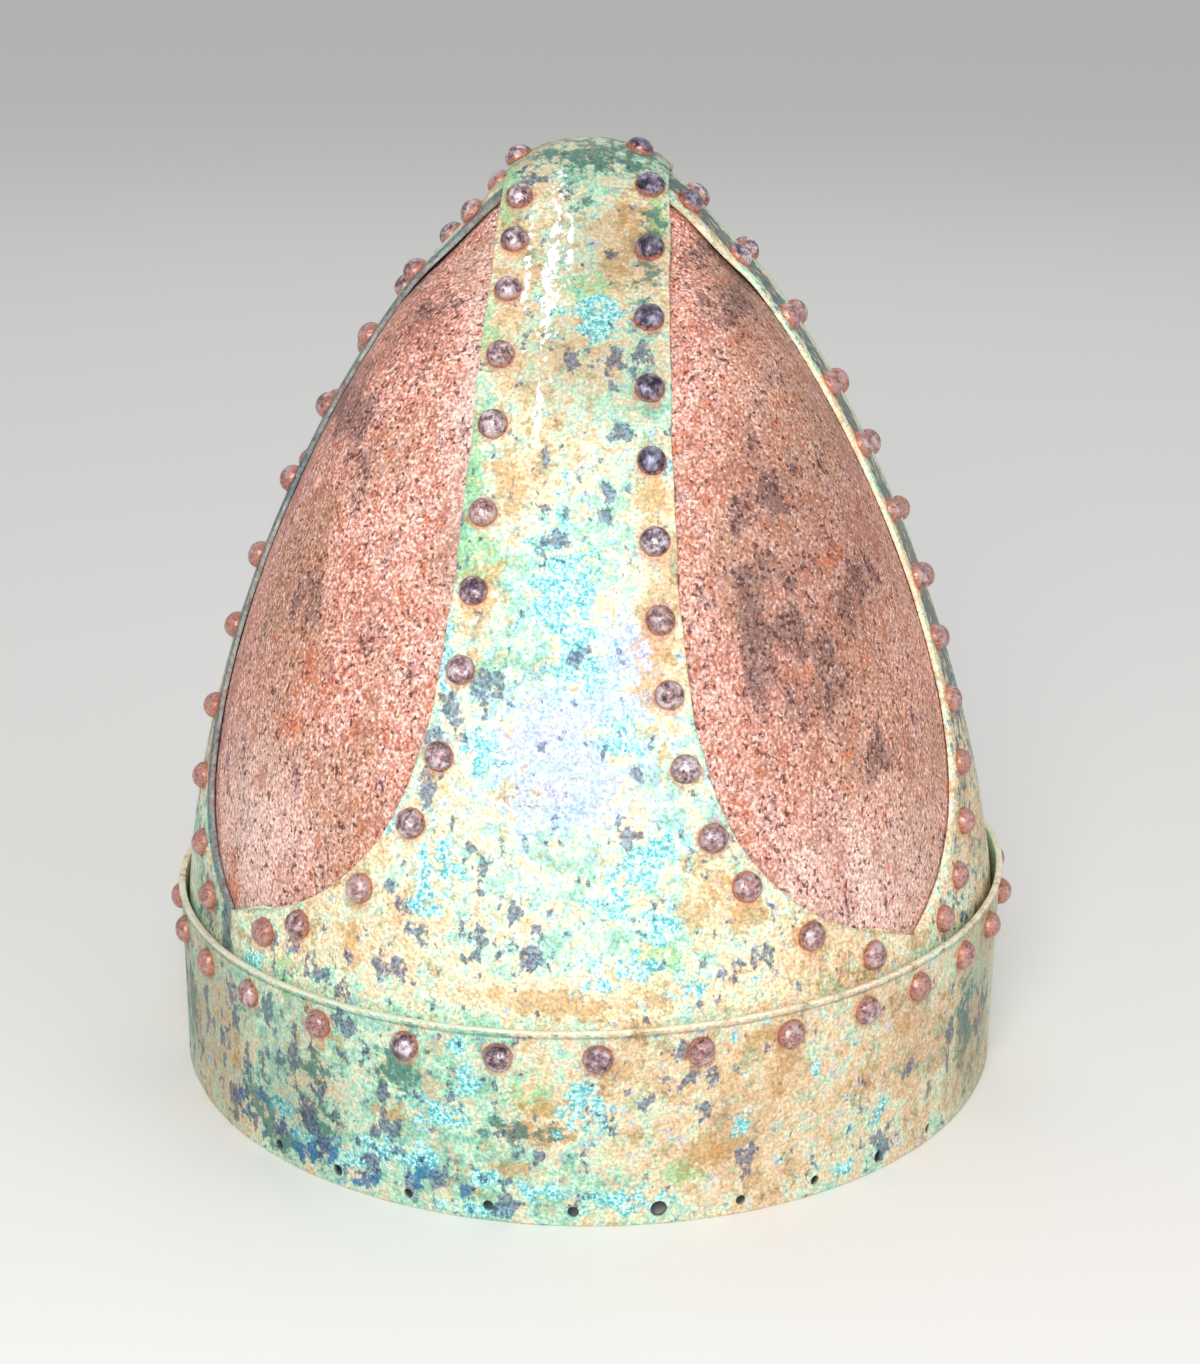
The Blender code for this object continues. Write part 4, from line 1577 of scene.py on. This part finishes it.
class Brush(Wiring):
    """Paints one material out of nodes, on the piece's own coordinates."""

    def __init__(self, name: str) -> None:
        """Starts a material with a plain shader.

        Args:
            name: The material's name.
        """
        self.material = bpy.data.materials.new(name)
        self.material.use_nodes = True
        super().__init__(self.material.node_tree)
        self.shader = self.tree.nodes["Principled BSDF"]
        self.coords = self.add("ShaderNodeTexCoord").outputs["Object"]

    def put(self, name: str, value: Any) -> None:
        """Joins or sets one of the shader's inputs.

        Args:
            name: The input.
            value: A socket to join or a value to set.
        """
        if isinstance(value, bpy.types.NodeSocket):
            self.tree.links.new(value, self.shader.inputs[name])
        else:
            self.shader.inputs[name].default_value = value

    def grain(
        self,
        scale: float,
        detail: float = 4.0,
        rough: float = 0.55,
        at: float = 0.0,
        stretch: Sequence[float] = (1, 1, 1),
    ) -> Socket:
        """Noise over the piece.

        Args:
            scale: Swells for each metre.
            detail: How many finer layers it has.
            rough: How strong the finer layers are.
            at: A shift, so that no two noises fall together.
            stretch: How much denser it is along each axis.

        Returns:
            Values about 0.5.
        """
        place = self.add(
            "ShaderNodeMapping",
            {"Vector": self.coords, "Location": (at, at * 0.7, at * 1.3), "Scale": stretch},
        )
        inputs = {"Vector": place.outputs[0], "Scale": scale, "Detail": detail, "Roughness": rough}
        return self.add("ShaderNodeTexNoise", inputs).outputs[0]

    def cells(self, scale: float, at: float = 0.0) -> Any:
        """A pattern of facets: its node."""
        place = self.add("ShaderNodeMapping", {"Vector": self.coords, "Location": (at, at, at)})
        return self.add("ShaderNodeTexVoronoi", {"Vector": place.outputs[0], "Scale": scale})

    def level(self, name: str) -> Socket:
        """A number stored on the piece."""
        return self.add("ShaderNodeAttribute", attribute_name=name).outputs["Fac"]

    def number(self, operation: str, *values: Any) -> Socket:
        """One Math node."""
        return self.maths("ShaderNodeMath", operation, *values)

    def mask(self, value: Any, low: float, high: float, top: float = 1.0) -> Socket:
        """Eases from 0 at low to top at high."""
        inputs = {"Value": value, "From Min": low, "From Max": high, "To Min": 0.0, "To Max": top}
        return self.add("ShaderNodeMapRange", inputs, interpolation_type="SMOOTHSTEP").outputs[0]

    def blend(self, *parts: tuple[Socket, float]) -> Socket:
        """Adds values up, each times its share.

        Args:
            *parts: Pairs of a value and its share.

        Returns:
            The sum.
        """
        total = self.number("MULTIPLY", *parts[0])
        for value, share in parts[1:]:
            total = self.number("MULTIPLY_ADD", value, share, total)
        return total

    def denser(
        self, name: str, speckle: Socket, gain: float, low: float, high: float, top: float
    ) -> Socket:
        """A mark made of speckles that crowd together where the piece's stored level is high: a
        stain, or painted light or shade.

        Args:
            name: The stored level.
            speckle: The noise that the speckles come from.
            gain: How much the level adds to the noise.
            low: Where the mark begins.
            high: Where it is at its deepest.
            top: How deep that is.

        Returns:
            The mark's share.
        """
        return self.mask(self.blend((speckle, 1.0), (self.level(name), gain)), low, high, top)

    def mix(self, share: Any, under: Any, over: Any, blend: str = "MIX") -> Socket:
        """Lays one colour over another.

        Args:
            share: How much of the upper one shows.
            under: The lower colour.
            over: The upper colour.
            blend: How they are mixed.

        Returns:
            The mixed colour.
        """
        inputs = {0: share, 6: tone(under), 7: tone(over)}
        node = self.add("ShaderNodeMix", inputs, data_type="RGBA", blend_type=blend)
        return node.outputs[2]

    def ramp(self, value: Socket, *stops: tuple[float, Any]) -> Socket:
        """Turns values into colours.

        Args:
            value: What to read.
            stops: (value, colour or grey) pairs in rising order.

        Returns:
            The colours.
        """
        node = self.add("ShaderNodeValToRGB", {"Fac": value})
        points = node.color_ramp.elements
        while len(points) < len(stops):
            points.new(0.5)
        for point, (at, colour) in zip(points, stops):
            point.position, point.color = at, tone(colour)
        return node.outputs[0]

    def bump(self, height: Socket, strength: float, distance: float) -> None:
        """Roughens the surface by a height, up to a distance in metres."""
        inputs = {"Height": height, "Strength": strength, "Distance": distance}
        self.put("Normal", self.add("ShaderNodeBump", inputs).outputs[0])


@dataclass(frozen=True)
class BronzePatina:
    """Old bronze: mottled tan, cream and mint, with turquoise blooms and slate specks."""

    brown: Colour = (168, 136, 96)
    tan: Colour = (212, 190, 144)
    cream: Colour = (234, 226, 192)
    pale_mint: Colour = (206, 234, 206)
    mint: Colour = (166, 218, 190)
    green: Colour = (128, 184, 152)
    peach: Colour = (238, 200, 160)
    slate: Colour = (104, 120, 150)
    deep_slate: Colour = (46, 58, 88)
    azure: Colour = (34, 112, 164)
    sky: Colour = (70, 196, 210)
    pale_sky: Colour = (194, 246, 240)
    ochre: Colour = (206, 150, 84)
    leaf: Colour = (146, 200, 130)
    teal: Colour = (62, 116, 104)
    # dark teal on the right strap, partly painted shade
    dusk: Colour = (28, 76, 86)
    lilac: Colour = (182, 196, 238)
    # painted highlight: the bright upright sheen
    frost: Colour = (250, 255, 255)
    rust: Colour = (204, 140, 108)
    # the colour of the painted highlight on cut edges, the lip and the rim
    edge: Colour = (255, 240, 216)
    shade_and_dirt: tuple[float, ...] = (0.36, 0.38, 0.34, 1.0)  # how much light the painted shade and dirt leave

    def paint(self, name: str, dim: float = 1.0, sparkle: float = 1.0) -> bpy.types.Material:
        """Makes the material.

        Args:
            name: The material's name.
            dim: How light it is; 1 is the straps' own lightness.
            sparkle: How far its finest grains differ from each other.

        Returns:
            The material.
        """
        b = Brush(name)
        ragged = b.grain(330, 4, 0.7, at=0.31)
        drift = b.grain(30, 2, 0.5, at=0.83)
        mottle = b.grain(135, 5, 0.74, at=1.7)
        fleck = b.grain(1250, 2, 0.7, at=2.9)
        bloom = b.grain(210, 5, 0.74, at=8.3)
        speck = b.grain(330, 3, 0.62, at=10.9, stretch=(1, 1, 0.7))
        sheen_streaks = b.grain(850, 2, 0.5, at=12.1, stretch=(1, 1, 0.012))
        cast = b.blend(
            (drift, 0.25), (mottle, 0.4), (ragged, 0.35), (b.level("warm"), -0.05),
            (b.level("cool"), 0.05),
        )  # fmt: skip
        base = b.ramp(
            cast,
            (0.385, self.brown),
            (0.43, self.tan),
            (0.48, self.cream),
            (0.52, self.pale_mint),
            (0.565, self.mint),
            (0.615, self.green),
        )
        bits = b.blend((ragged, 0.6), (bloom, 0.4))
        base = b.mix(b.mask(bloom, 0.54, 0.59, 0.5), base, self.mint)
        peachy = b.blend((bloom, -1.0), (b.level("warm"), 0.1))
        base = b.mix(b.mask(peachy, -0.46, -0.41, 0.6), base, self.peach)
        blue = b.ramp(fleck, (0.42, self.sky), (0.6, self.pale_sky))
        dark = b.ramp(fleck, (0.42, self.deep_slate), (0.56, self.slate))
        specks = b.blend((speck, 0.75), (ragged, 0.25), (drift, 0.15))
        # Stains, with the right strap's dark teal that is partly painted shade, from the lowest up:
        # level, speckle, gain, low, high, top and colour.
        for *stain, colour in (
            ("lilac", ragged, 0.3, 0.55, 0.72, 0.75, self.lilac),
            ("leaf", bits, 0.2, 0.58, 0.66, 0.6, self.leaf),
            ("ochre", bloom, 0.2, 0.6, 0.68, 0.7, self.ochre),
            ("teal", bits, 0.2, 0.6, 0.68, 0.8, self.teal),
            ("sky", bits, 0.22, 0.6, 0.69, 0.88, blue),
            ("azure", bits, 0.22, 0.63, 0.68, 0.85, self.azure),
            ("slate", specks, 0.16, 0.665, 0.72, 0.78, dark),
            # Dark teal on the right strap, partly painted shade.
            ("dusk", bits, 0.35, 0.76, 0.84, 0.85, self.dusk),
            ("rivet_near", ragged, 0.5, 0.76, 1.0, 0.7, self.rust),
        ):
            base = b.mix(b.denser(*stain), base, colour)
        # Painted shade in deep slate: under the lip, inside the lacing holes and along the left
        # strap's front edge.
        base = b.mix(b.mask(b.level("crease"), 0.2, 0.9, 0.75), base, self.deep_slate)
        grains = ((0.36, -0.5), (0.46, -0.1), (0.54, 0.1), (0.62, 0.5))
        light = b.ramp(fleck, *((at, (1 + share * sparkle) * dim) for at, share in grains))
        # Painted shade, partly dirt: the grain's light is dimmed where the shade level is high.
        light = b.mix(b.mask(b.level("shade"), 0, 1, 0.5), light, self.shade_and_dirt)
        colour = b.mix(1.0, base, light, "MULTIPLY")
        # Painted highlight: bright upright streaks of sheen, partly real scratches.
        frost = b.blend((sheen_streaks, 1.0), (ragged, 0.15))
        colour = b.mix(b.denser("frost", frost, 0.45, 0.95, 0.975, 0.95), colour, self.frost)
        # Painted highlight along the cut edges and on the band's lip and rim.
        edge_speckle = b.blend((ragged, 0.5), (mottle, 0.5))
        edge = b.denser("edge_near", edge_speckle, 0.7, 0.85, 1.22, 0.85)
        b.put("Base Color", b.mix(edge, colour, self.edge))
        b.put("Roughness", b.number("ADD", b.number("MULTIPLY", mottle, 0.4), 0.28))
        b.put("Specular IOR Level", 0.5)
        b.bump(b.blend((mottle, 0.6), (fleck, 0.5)), 0.6, 0.5 * MM)
        return b.material


@dataclass(frozen=True)
class RustedIron:
    """Iron sheet under dry salmon-brown rust, granular, pitted and clouded."""

    salmon: Colour = (214, 146, 126)
    pale: Colour = (248, 204, 190)
    brown: Colour = (164, 104, 88)
    pit: Colour = (78, 40, 40)
    orange: Colour = (214, 112, 66)
    gloom: Colour = (116, 82, 78)
    olive: Colour = (172, 134, 104)
    plum: Colour = (164, 126, 134)
    glint: Colour = (255, 230, 222)
    shade_and_dirt: tuple[float, ...] = (0.5, 0.5, 0.52, 1.0)  # how much light the painted shade leaves

    def paint(self, name: str) -> bpy.types.Material:
        """Makes the material.

        Args:
            name: The material's name.

        Returns:
            The material.
        """
        b = Brush(name)
        drift = b.grain(34, 3, 0.6, at=0.4, stretch=(1, 1, 0.6))
        cloud = b.grain(170, 5, 0.72, at=1.9, stretch=(1, 1, 0.4))
        grit = b.grain(1500, 2, 0.6, at=3.3, stretch=(1, 1, 0.8))
        flakes = b.grain(420, 4, 0.7, at=6.1, stretch=(1, 1, 0.7))
        pores = b.grain(1050, 2, 0.55, at=0.7, stretch=(1, 1, 0.8))
        grains = b.blend((grit, 0.4), (flakes, 0.35), (cloud, 0.25))
        base = b.ramp(grains, (0.37, self.brown), (0.48, self.salmon), (0.6, self.pale))
        pits = b.blend((pores, 1.0), (cloud, -0.35), (flakes, 0.2), (b.level("gloom"), -0.04))
        # Tints and painted highlights, from the lowest up: share and colour.
        for share, colour in (
            (b.mask(drift, 0.5, 0.62, 0.5), self.olive),
            (b.mask(b.level("warm"), 0, 1, 0.5), self.olive),
            # Painted highlight: pale glare where the sheen level is high.
            (b.mask(b.level("frost"), 0, 1, 0.4), self.glint),
            (b.mask(drift, 0.46, 0.36, 0.4), self.brown),
            (b.mask(cloud, 0.56, 0.66, 0.45), self.plum),
            (b.mask(cloud, 0.43, 0.36, 0.5), self.brown),
            (b.denser("ochre", cloud, 0.22, 0.64, 0.72, 0.6), self.orange),
            (b.mask(flakes, 0.41, 0.36, 0.6), self.orange),
            (b.mask(flakes, 0.6, 0.65, 0.5), self.plum),
            (b.denser("gloom", cloud, 0.22, 0.59, 0.74, 0.66), self.gloom),
            (b.mask(pits, 0.325, 0.28, 0.85), self.pit),
            # Painted highlight: glints on the grit.
            (b.mask(grit, 0.63, 0.7, 0.5), self.glint),
        ):
            base = b.mix(share, base, colour)
        light = b.ramp(grit, (0.36, 0.66), (0.62, 1.28))
        # Painted shade: the grain's light is dimmed where the shade level is high.
        light = b.mix(b.mask(b.level("shade"), 0, 1, 0.42), light, self.shade_and_dirt)
        b.put("Base Color", b.mix(1.0, base, light, "MULTIPLY"))
        b.put("Roughness", b.number("ADD", b.number("MULTIPLY", grit, 0.3), 0.45))
        b.put("Specular IOR Level", 0.45)
        b.bump(b.blend((grit, 0.5), (flakes, 0.8)), 0.7, 0.4 * MM)
        return b.material


@dataclass(frozen=True)
class RivetIron:
    """Hammered iron heads, purple-brown on top and rusty round the foot."""

    top: Colour = (148, 122, 130)
    dark: Colour = (62, 56, 72)
    shine: Colour = (232, 224, 232)
    foot: Colour = (186, 120, 96)
    blush: Colour = (190, 136, 122)
    night: Colour = (172, 180, 200)

    def paint(self, name: str) -> bpy.types.Material:
        """Makes the material.

        Args:
            name: The material's name.

        Returns:
            The material.
        """
        b = Brush(name)
        facets = b.cells(430, at=0.2)
        blows = b.grain(560, 3, 0.65, at=1.1)
        fine = b.grain(1500, 2, 0.6, at=2.2)
        dents = b.blend((facets.outputs["Color"], 0.2), (blows, 0.8))
        base = b.ramp(dents, (0.37, self.dark), (0.49, self.top), (0.62, self.shine))
        blush = b.blend((b.level("tone"), 1.0), (fine, 1.0))
        base = b.mix(b.mask(blush, 0.75, 1.5, 0.9), base, self.blush)
        base = b.mix(b.mask(b.level("tone"), 0, -0.5), base, self.night, "MULTIPLY")
        low = b.blend((b.level("head_rise"), -1.0), (blows, 1.1), (fine, 0.6))
        base = b.mix(b.mask(low, 0.25, 0.8, 0.9), base, self.foot)
        light = b.ramp(fine, (0.35, 0.6), (0.65, 1.2))
        b.put("Base Color", b.mix(1.0, base, light, "MULTIPLY"))
        b.put("Roughness", b.number("ADD", b.number("MULTIPLY", blows, 0.35), 0.15))
        b.put("Metallic", 0.25)
        b.bump(b.blend((facets.outputs["Distance"], 0.5), (blows, 0.6), (fine, 0.2)), 0.7, 0.5 * MM)
        return b.material


# ---------------------------------------------------------------- the studio


def bearing(azimuth: float, elevation: float) -> Vector:
    """The direction from the helmet out to an azimuth and an elevation in degrees."""
    a, e = math.radians(azimuth), math.radians(elevation)
    return Vector((math.sin(a) * math.cos(e), -math.cos(a) * math.cos(e), math.sin(e)))


@dataclass
class Lamp:
    """One soft light: where it hangs, how large and how strong it is."""

    name: str
    azimuth: float
    elevation: float
    distance: float
    size: float
    power: float

    def hang(self, target: Vector) -> None:
        """Makes the light, facing the target.

        Args:
            target: The place that it shines on.
        """
        data = bpy.data.lights.new(self.name, "AREA")
        data.size, data.energy = self.size, self.power
        lamp = placed(self.name, data)
        away = bearing(self.azimuth, self.elevation)
        lamp.location = target + away * self.distance
        lamp.rotation_euler = away.to_track_quat("Z", "Y").to_euler()


@dataclass
class Studio:
    """A pale floor that curves up all round, soft lights, and the camera."""

    floor_colour: Colour = (238, 236, 232)
    floor_roughness: float = 0.85
    middle_radius: float = 0.4
    flat_radius: float = 3.5
    rim_radius: float = 6.0
    rim_height: float = 1.5
    floor_steps: int = 12
    floor_sides: int = 96
    elevation: float = 17.05
    azimuth: float = 3.69
    roll: float = 0.741
    distance: float = 0.6662
    aim: tuple[float, float] = (1.505 * MM, 88.1 * MM)
    lens: float = 72.475
    sensor: float = 36
    clip: tuple[float, float] = (0.02, 20)
    lit_height: float = 0.1
    room_light: Triple = (0.95, 0.97, 1.0)
    room_strength: float = 0.55
    lamps: tuple[Lamp, ...] = field(
        default=(
            Lamp("key", azimuth=-2, elevation=26, distance=1.1, size=0.42, power=8.6),
            Lamp("fill", azimuth=58, elevation=24, distance=1.6, size=1.2, power=4.0),
            Lamp("back", azimuth=180, elevation=50, distance=1.6, size=1.2, power=3.0),
        )
    )

    def build(self) -> None:
        """Makes the floor, the lights and the camera."""
        self.floor()
        for lamp in self.lamps:
            lamp.hang(Vector((0, 0, self.lit_height)))
        world = bpy.data.worlds.new("pale room")
        world.use_nodes = True
        room = world.node_tree.nodes["Background"].inputs
        room["Color"].default_value = (*self.room_light, 1)
        room["Strength"].default_value = self.room_strength
        bpy.context.scene.world = world
        bpy.context.scene.view_settings.view_transform = "Standard"
        self.camera()

    def floor(self) -> None:
        """One round sheet: flat in the middle, curving up into a wall."""
        rise = [(self.middle_radius, 0.0), (self.flat_radius, 0.0)]
        for step in range(1, self.floor_steps + 1):
            turn = math.pi / 2 * step / self.floor_steps
            reach = (self.rim_radius - self.flat_radius) * math.sin(turn)
            rise.append((self.flat_radius + reach, self.rim_height * (1 - math.cos(turn))))
        count = self.floor_sides
        turns = [math.tau * k / count for k in range(count)]
        verts = [(r * math.cos(turn), r * math.sin(turn), z) for r, z in rise for turn in turns]
        faces = [tuple(range(count))]
        for ring in range(0, count * (len(rise) - 1), count):
            for k in range(count):
                j = (k + 1) % count
                faces.append((ring + k, ring + count + k, ring + count + j, ring + j))
        floor = plain_piece("floor", verts, faces=faces)
        floor.data.shade_smooth()
        b = Brush("pale_floor")
        b.put("Base Color", tone(self.floor_colour))
        b.put("Roughness", self.floor_roughness)
        floor.data.materials.append(b.material)

    def camera(self) -> None:
        """The camera, a little above and to the right of the helmet's front."""
        a, r = math.radians(self.azimuth), math.radians(self.roll)
        back = bearing(self.azimuth, self.elevation)
        right = Vector((math.cos(a), math.sin(a), 0))
        up = back.cross(right)
        turned = math.cos(r) * right + math.sin(r) * up
        upright = -math.sin(r) * right + math.cos(r) * up
        data = bpy.data.cameras.new("camera")
        data.lens, data.sensor_width = self.lens, self.sensor
        data.clip_start, data.clip_end = self.clip
        camera = placed("camera", data)
        target = right * self.aim[0] + Vector((0, 0, self.aim[1]))
        basis = Matrix((turned, upright, back)).transposed().to_4x4()
        camera.matrix_world = Matrix.Translation(target + back * self.distance) @ basis
        bpy.context.scene.camera = camera


# ---------------------------------------------------------------- the helmet


@dataclass
class Spangenhelm:
    """The whole helmet: builds its pieces, stains them and joins them to the frame."""

    dome: Dome = field(default_factory=Dome)
    band: BrowBand = field(default_factory=BrowBand)
    bronze: BronzePatina = field(default_factory=BronzePatina)
    iron: RustedIron = field(default_factory=RustedIron)
    rivet_iron: RivetIron = field(default_factory=RivetIron)
    bronze_thickness: float = 1.2 * MM
    iron_thickness: float = 1.4 * MM
    rounding: float = 0.3 * MM
    side_strap_end: float = 7 * MM  # how far the side straps stop from the middle
    crown_rivets: tuple[float, float] = (11.4 * MM, -16.2 * MM)
    crown_angle: float = 89.0
    band_clearance: float = 4.1 * MM
    # Millimetres from one rivet to the next down each strap edge, from the crown.
    front_right: Pitches = (
        24.3, 17.2, 19.6, 17.1, 16.6, 17.8, 17, 16, 15.9, 15.6, 12.8, 19.6, 19.2,
    )  # fmt: skip
    front_left: Pitches = (
        28.3, 11.8, 14.1, 16.9, 16.3, 19.9, 17.2, 17.1, 18.9, 15.5, 19.1, 20.3, 13,
    )  # fmt: skip
    side_right: Pitches = (
        9.6, 16.5, 17.5, 18.1, 15.5, 16.6, 16.2, 14.7, 14.6, 14.7, 13.7, 13.1, 13.1,
    )  # fmt: skip
    side_left: Pitches = (14, 19, 18.4, 19.1, 19.3, 19.6, 17.5, 19.5, 16.7, 16.2, 14)
    side_right_back: Pitches = (11, 17, 19, 19.5, 17, 18.5, 19, 18.5, 20.5, 21)
    side_left_back: Pitches = (8,) + (17,) * 10
    plain: Pitches = (22,) + (17,) * 11

    def leg(self, side: Side) -> Leg:
        """The leg on one side."""
        return Leg(self.dome, SIDE_SHAPE if side.sideways else FRONT_SHAPE, side)

    def strap_rivets(self) -> Rivets:
        """Every rivet on the straps.

        Returns:
            The rivets.
        """
        front, back = self.leg(Side.FRONT), self.leg(Side.BACK)
        crown = front.surface(np.array(self.crown_rivets), self.crown_angle)
        found = Rivets(self.dome.leaned(crown), front.normals(crown))
        found += Rivets.down(front, self.front_right) + Rivets.down(front, self.front_left, True)
        found += Rivets.down(back, self.plain) + Rivets.down(back, self.plain, True)
        start = FRONT_SHAPE.neck
        right = (Side.RIGHT, self.side_right, self.side_right_back)
        left = (Side.LEFT, self.side_left, self.side_left_back)
        for side, near, far in (right, left):
            leg = self.leg(side)
            found += Rivets.down(leg, near, False, start)
            found += Rivets.down(leg, far, True, start)
        return self.above_band(found)

    def above_band(self, rivets: Rivets) -> Rivets:
        """Slides rivets up their strap until their heads clear the band's top edge.

        Args:
            rivets: The straps' rivets.

        Returns:
            The rivets, none of them behind the band.
        """
        feet, aims = rivets.feet.copy(), rivets.aims
        angle = np.degrees(np.arctan2(feet[:, 0], -feet[:, 1] / self.band.length_ratio))
        lift = np.maximum(self.band.top(angle) + self.band_clearance - feet[:, 2], 0)
        uphill = UP - aims * aims[:, 2:3]
        feet += uphill * (lift / uphill[:, 2])[:, None]
        return Rivets(feet, aims)

    def tones(self, rivets: Rivets) -> Array:
        """How rusty each head is: bluer on the front's right, pinker at the sides.

        Args:
            rivets: All the rivets.

        Returns:
            One number for each head, from -0.6 for blue to 1 for rusty.
        """
        feet = rivets.feet / MM
        spread = np.abs(feet[:, 0]) / 100
        chance = np.random.default_rng(11).uniform(-0.2, 0.2, len(feet))
        blue = smoothstep(feet[:, 0], -4, 10) * smoothstep(-feet[:, 0], -40, -22)
        blue = blue * smoothstep(feet[:, 2], 125, 160) * (feet[:, 1] < 0)
        return np.clip(0.25 + 0.75 * spread + chance - 0.9 * blue, -0.6, 1)

    def finish_piece(
        self,
        piece: bpy.types.Object,
        material: bpy.types.Material,
        nodes: Sequence[str] = (),
    ) -> None:
        """Gives a piece its finish and joins it to the frame.

        Args:
            piece: The piece.
            material: Its finish.
            nodes: The solids that the piece stands for.
        """
        piece.data.materials.clear()
        piece.data.materials.append(material)
        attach(piece, "root")
        if nodes:
            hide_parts(*nodes)
        faces = sum(len(face.vertices) - 2 for face in piece.data.polygons)
        log.info("%s: %d triangles", piece.name, faces)

    def straps(self) -> dict[str, bpy.types.Object]:
        """The front-to-back strap and both side straps.

        Returns:
            The straps, by the solid that each stands for.
        """
        sheet = (self.bronze_thickness, self.rounding)
        long_cut = SheetCut(*sheet, columns=84, inner_columns=20)
        side_cut = SheetCut(*sheet, columns=60, inner_columns=16)
        crown = float(self.leg(Side.RIGHT).surface(np.array(0.0), np.array(90.0))[2])
        end = math.degrees(math.atan2(crown - self.dome.foot_bottom, self.side_strap_end))
        legs = (self.leg(Side.FRONT), self.leg(Side.BACK))
        right, left = (self.leg(Side.RIGHT),), (self.leg(Side.LEFT),)
        sides = {"cut": side_cut, "rows_a_leg": 180, "end_angle": end}
        right_shading_and_seed = {"edge_light": 0.75, "dusk": 1.0, "seed": 2.3}
        left_shading_and_seed = {"edge_light": 0.6, "edge_shade": 0.9, "seed": 3.9}
        made = {
            "front_to_back": Strap(
                "long_strap_skin", legs, long_cut, rows_a_leg=200, edge_light=0.3
            ),
            "right": Strap("right_strap_skin", right, **sides, **right_shading_and_seed),
            "left": Strap("left_strap_skin", left, **sides, **left_shading_and_seed),
        }
        return {f"spangen_{name}": strap.build() for name, strap in made.items()}

    def plates(self) -> dict[str, bpy.types.Object]:
        """The four iron plates.

        Returns:
            The plates, by the solid that each stands for.
        """
        cut = SheetCut(self.iron_thickness, self.rounding, columns=84, inner_columns=16)
        found = {}
        for depth, y_sign in (("front", 1), ("back", -1)):
            for side, x_sign in (("right", 1), ("left", -1)):
                name = f"plate_{depth}_{side}"
                found[name] = Plate(f"{name}_skin", self.dome, x_sign, y_sign, cut).build()
        return found

    def build(self) -> None:
        """Builds, stains and joins every piece."""
        bronze = self.bronze.paint("bronze_patina_skin", sparkle=0.65)
        band_bronze = self.bronze.paint("band_bronze_skin", 0.85, sparkle=0.55)
        iron = self.iron.paint("rusted_iron_skin")
        rivet_iron = self.rivet_iron.paint("rivet_iron_skin")
        strap_rivets, brow_rivets = self.strap_rivets(), self.band.rivets()

        band = self.band.build(band_bronze)
        stain_round(band, BAND_PATCHES)
        rust_halo(band, brow_rivets)
        self.finish_piece(band, band_bronze, ["brow_band"])

        skins = [band]
        for node, strap in self.straps().items():
            stain_front(strap, STRAP_PATCHES)
            rust_halo(strap, strap_rivets)
            self.finish_piece(strap, bronze, [node])
            skins.append(strap)
        for node, plate in self.plates().items():
            stain_front(plate, PLATE_PATCHES)
            self.finish_piece(plate, iron, [node])
            skins.append(plate)

        every = strap_rivets + brow_rivets
        heads = RivetHeads(every, self.tones(every)).build(rivet_iron)
        brow_nodes = [f"brow_rivet_{i + 1:02d}" for i in range(self.band.rivet_count)]
        self.finish_piece(heads, rivet_iron, brow_nodes)
        ends = RivetEnds(every).build(skins, rivet_iron)
        soften(ends, 30)
        self.finish_piece(ends, rivet_iron)


def main() -> None:
    """Builds the studio and the helmet."""
    logging.basicConfig(level=logging.INFO, format="%(name)s %(message)s")
    Studio().build()
    Spangenhelm().build()


if __name__ == "__main__":
    main()
